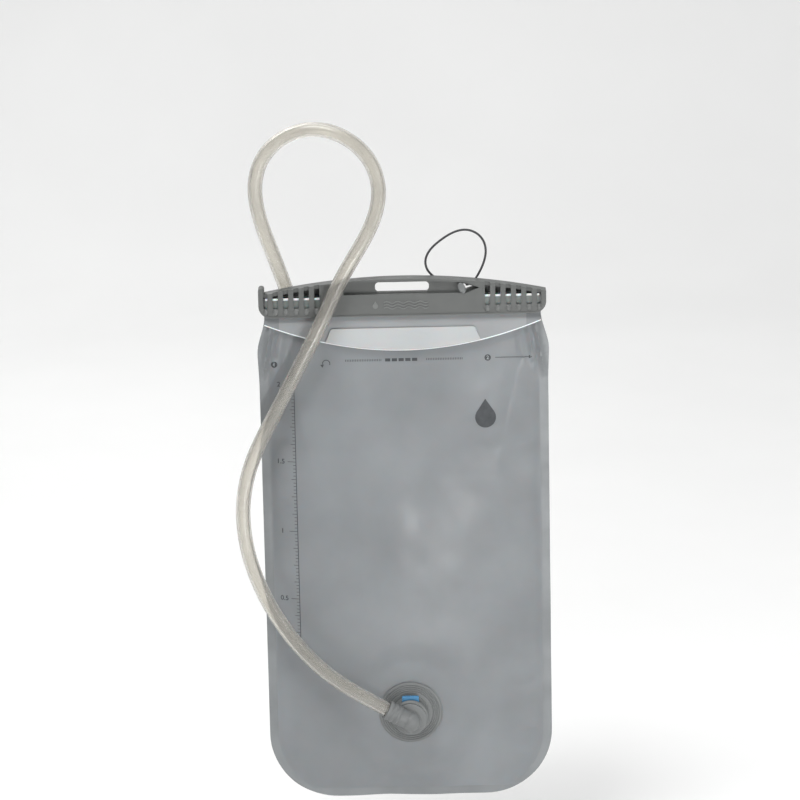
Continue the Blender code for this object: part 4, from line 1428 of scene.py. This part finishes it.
def print_scale(ink):
    """The volume scale: long, middling and short ticks down a line."""
    bottom = SCALE_TOP - SCALE_MARKS * SCALE_STEP + 10 * MM
    ink.line((SCALE_X, SCALE_TOP), (SCALE_X, bottom), 0.45 * MM)
    for i in range(SCALE_MARKS * SCALE_PARTS - 4):
        z = SCALE_TOP - SCALE_STEP * i / SCALE_PARTS
        reach = 5.5 if i % SCALE_PARTS == 0 else 3.2 if i % 5 == 0 else 1.9
        ink.line((SCALE_X - reach * MM, z), (SCALE_X, z), 0.32 * MM)
    # the top label stands above its mark, clear of the hose
    for i, (label, rise) in enumerate((("2", 5.1), ("1.5", 0), ("1", 0), ("0.5", 0))):
        ink.digit(label, (SCALE_X - 10 * MM, SCALE_TOP - SCALE_STEP * i + rise * MM), 3.2 * MM)


def make_print(film):
    ink, pale = Print(), Print()
    print_signs(ink, pale)
    print_scale(ink)
    ink.drop(PRINT_DROP, 19 * MM)
    marks = (("film_print", ink, 0.1 * MM, "ink"), ("film_numerals", pale, 0.22 * MM, "pale_ink"))
    for name, marked, lift, key in marks:
        item = add_object(marked.mesh(name, film, lift), MATERIALS[key])
        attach(item, "reservoir")


# ---- studio ----


def make_floor():
    """A floor that curves up into a wall behind."""
    low = cad_low.z - FLOOR_GAP
    half, far, radius = 3.0, 2.2, 0.6
    curve = [
        (far - radius + radius * math.sin(a), low + radius * (1 - math.cos(a)))
        for a in np.linspace(0, math.pi / 2, 17)
    ]
    profile = [(-half, low), *curve, (far, low + half)]
    rows = [[(x, y, z) for x in (-half, half)] for y, z in profile]
    floor = add_object(grid_mesh("studio_floor", rows), floor_material())


def add_light(name, place, aim, size, power):
    data = bpy.data.lights.new(name, "AREA")
    data.shape = "RECTANGLE"
    data.size, data.size_y = size
    data.energy = power
    light = add_object(data)
    light.location = place
    light.rotation_mode = "QUATERNION"
    light.rotation_quaternion = (Vector(aim) - Vector(place)).to_track_quat("-Z", "Y")


def make_lights():
    for light in LIGHTS:
        add_light(*light)
    world = bpy.data.worlds.new("studio")
    world.use_nodes = True
    background = world.node_tree.nodes["Background"].inputs
    background["Color"].default_value = (0.93, 0.935, 0.94, 1)
    background["Strength"].default_value = 0.36
    bpy.context.scene.world = world
    bpy.context.scene.view_settings.view_transform = "Standard"


# ---- all of it ----


def main():
    make_camera()
    hose, hose_centres, route = make_hose()
    tether, tether_centres = make_tether()
    make_closure()
    make_toggle()
    make_rails()
    front = make_film("bag_front", "front_film", -1)
    back = make_film("bag_back", "back_film", 1)
    make_tab("outer_tab", "outer_mouth_tab", OUTER_TAB_PITCHES)
    make_tab("inner_tab", "inner_mouth_tab", INNER_TAB_PITCHES)
    for make_port_piece in (make_flange, make_housing, make_button, make_elbow, make_spring):
        make_port_piece()
    place = valve_frame(smooth_route(HOSE_ROUTE, 24 * MM))
    for make_valve_piece in (make_valve_tube, make_valve_collar, make_mouthpiece):
        make_valve_piece(place)
    finish_cad_nodes()
    make_print(front)
    make_floor()
    make_lights()


main()
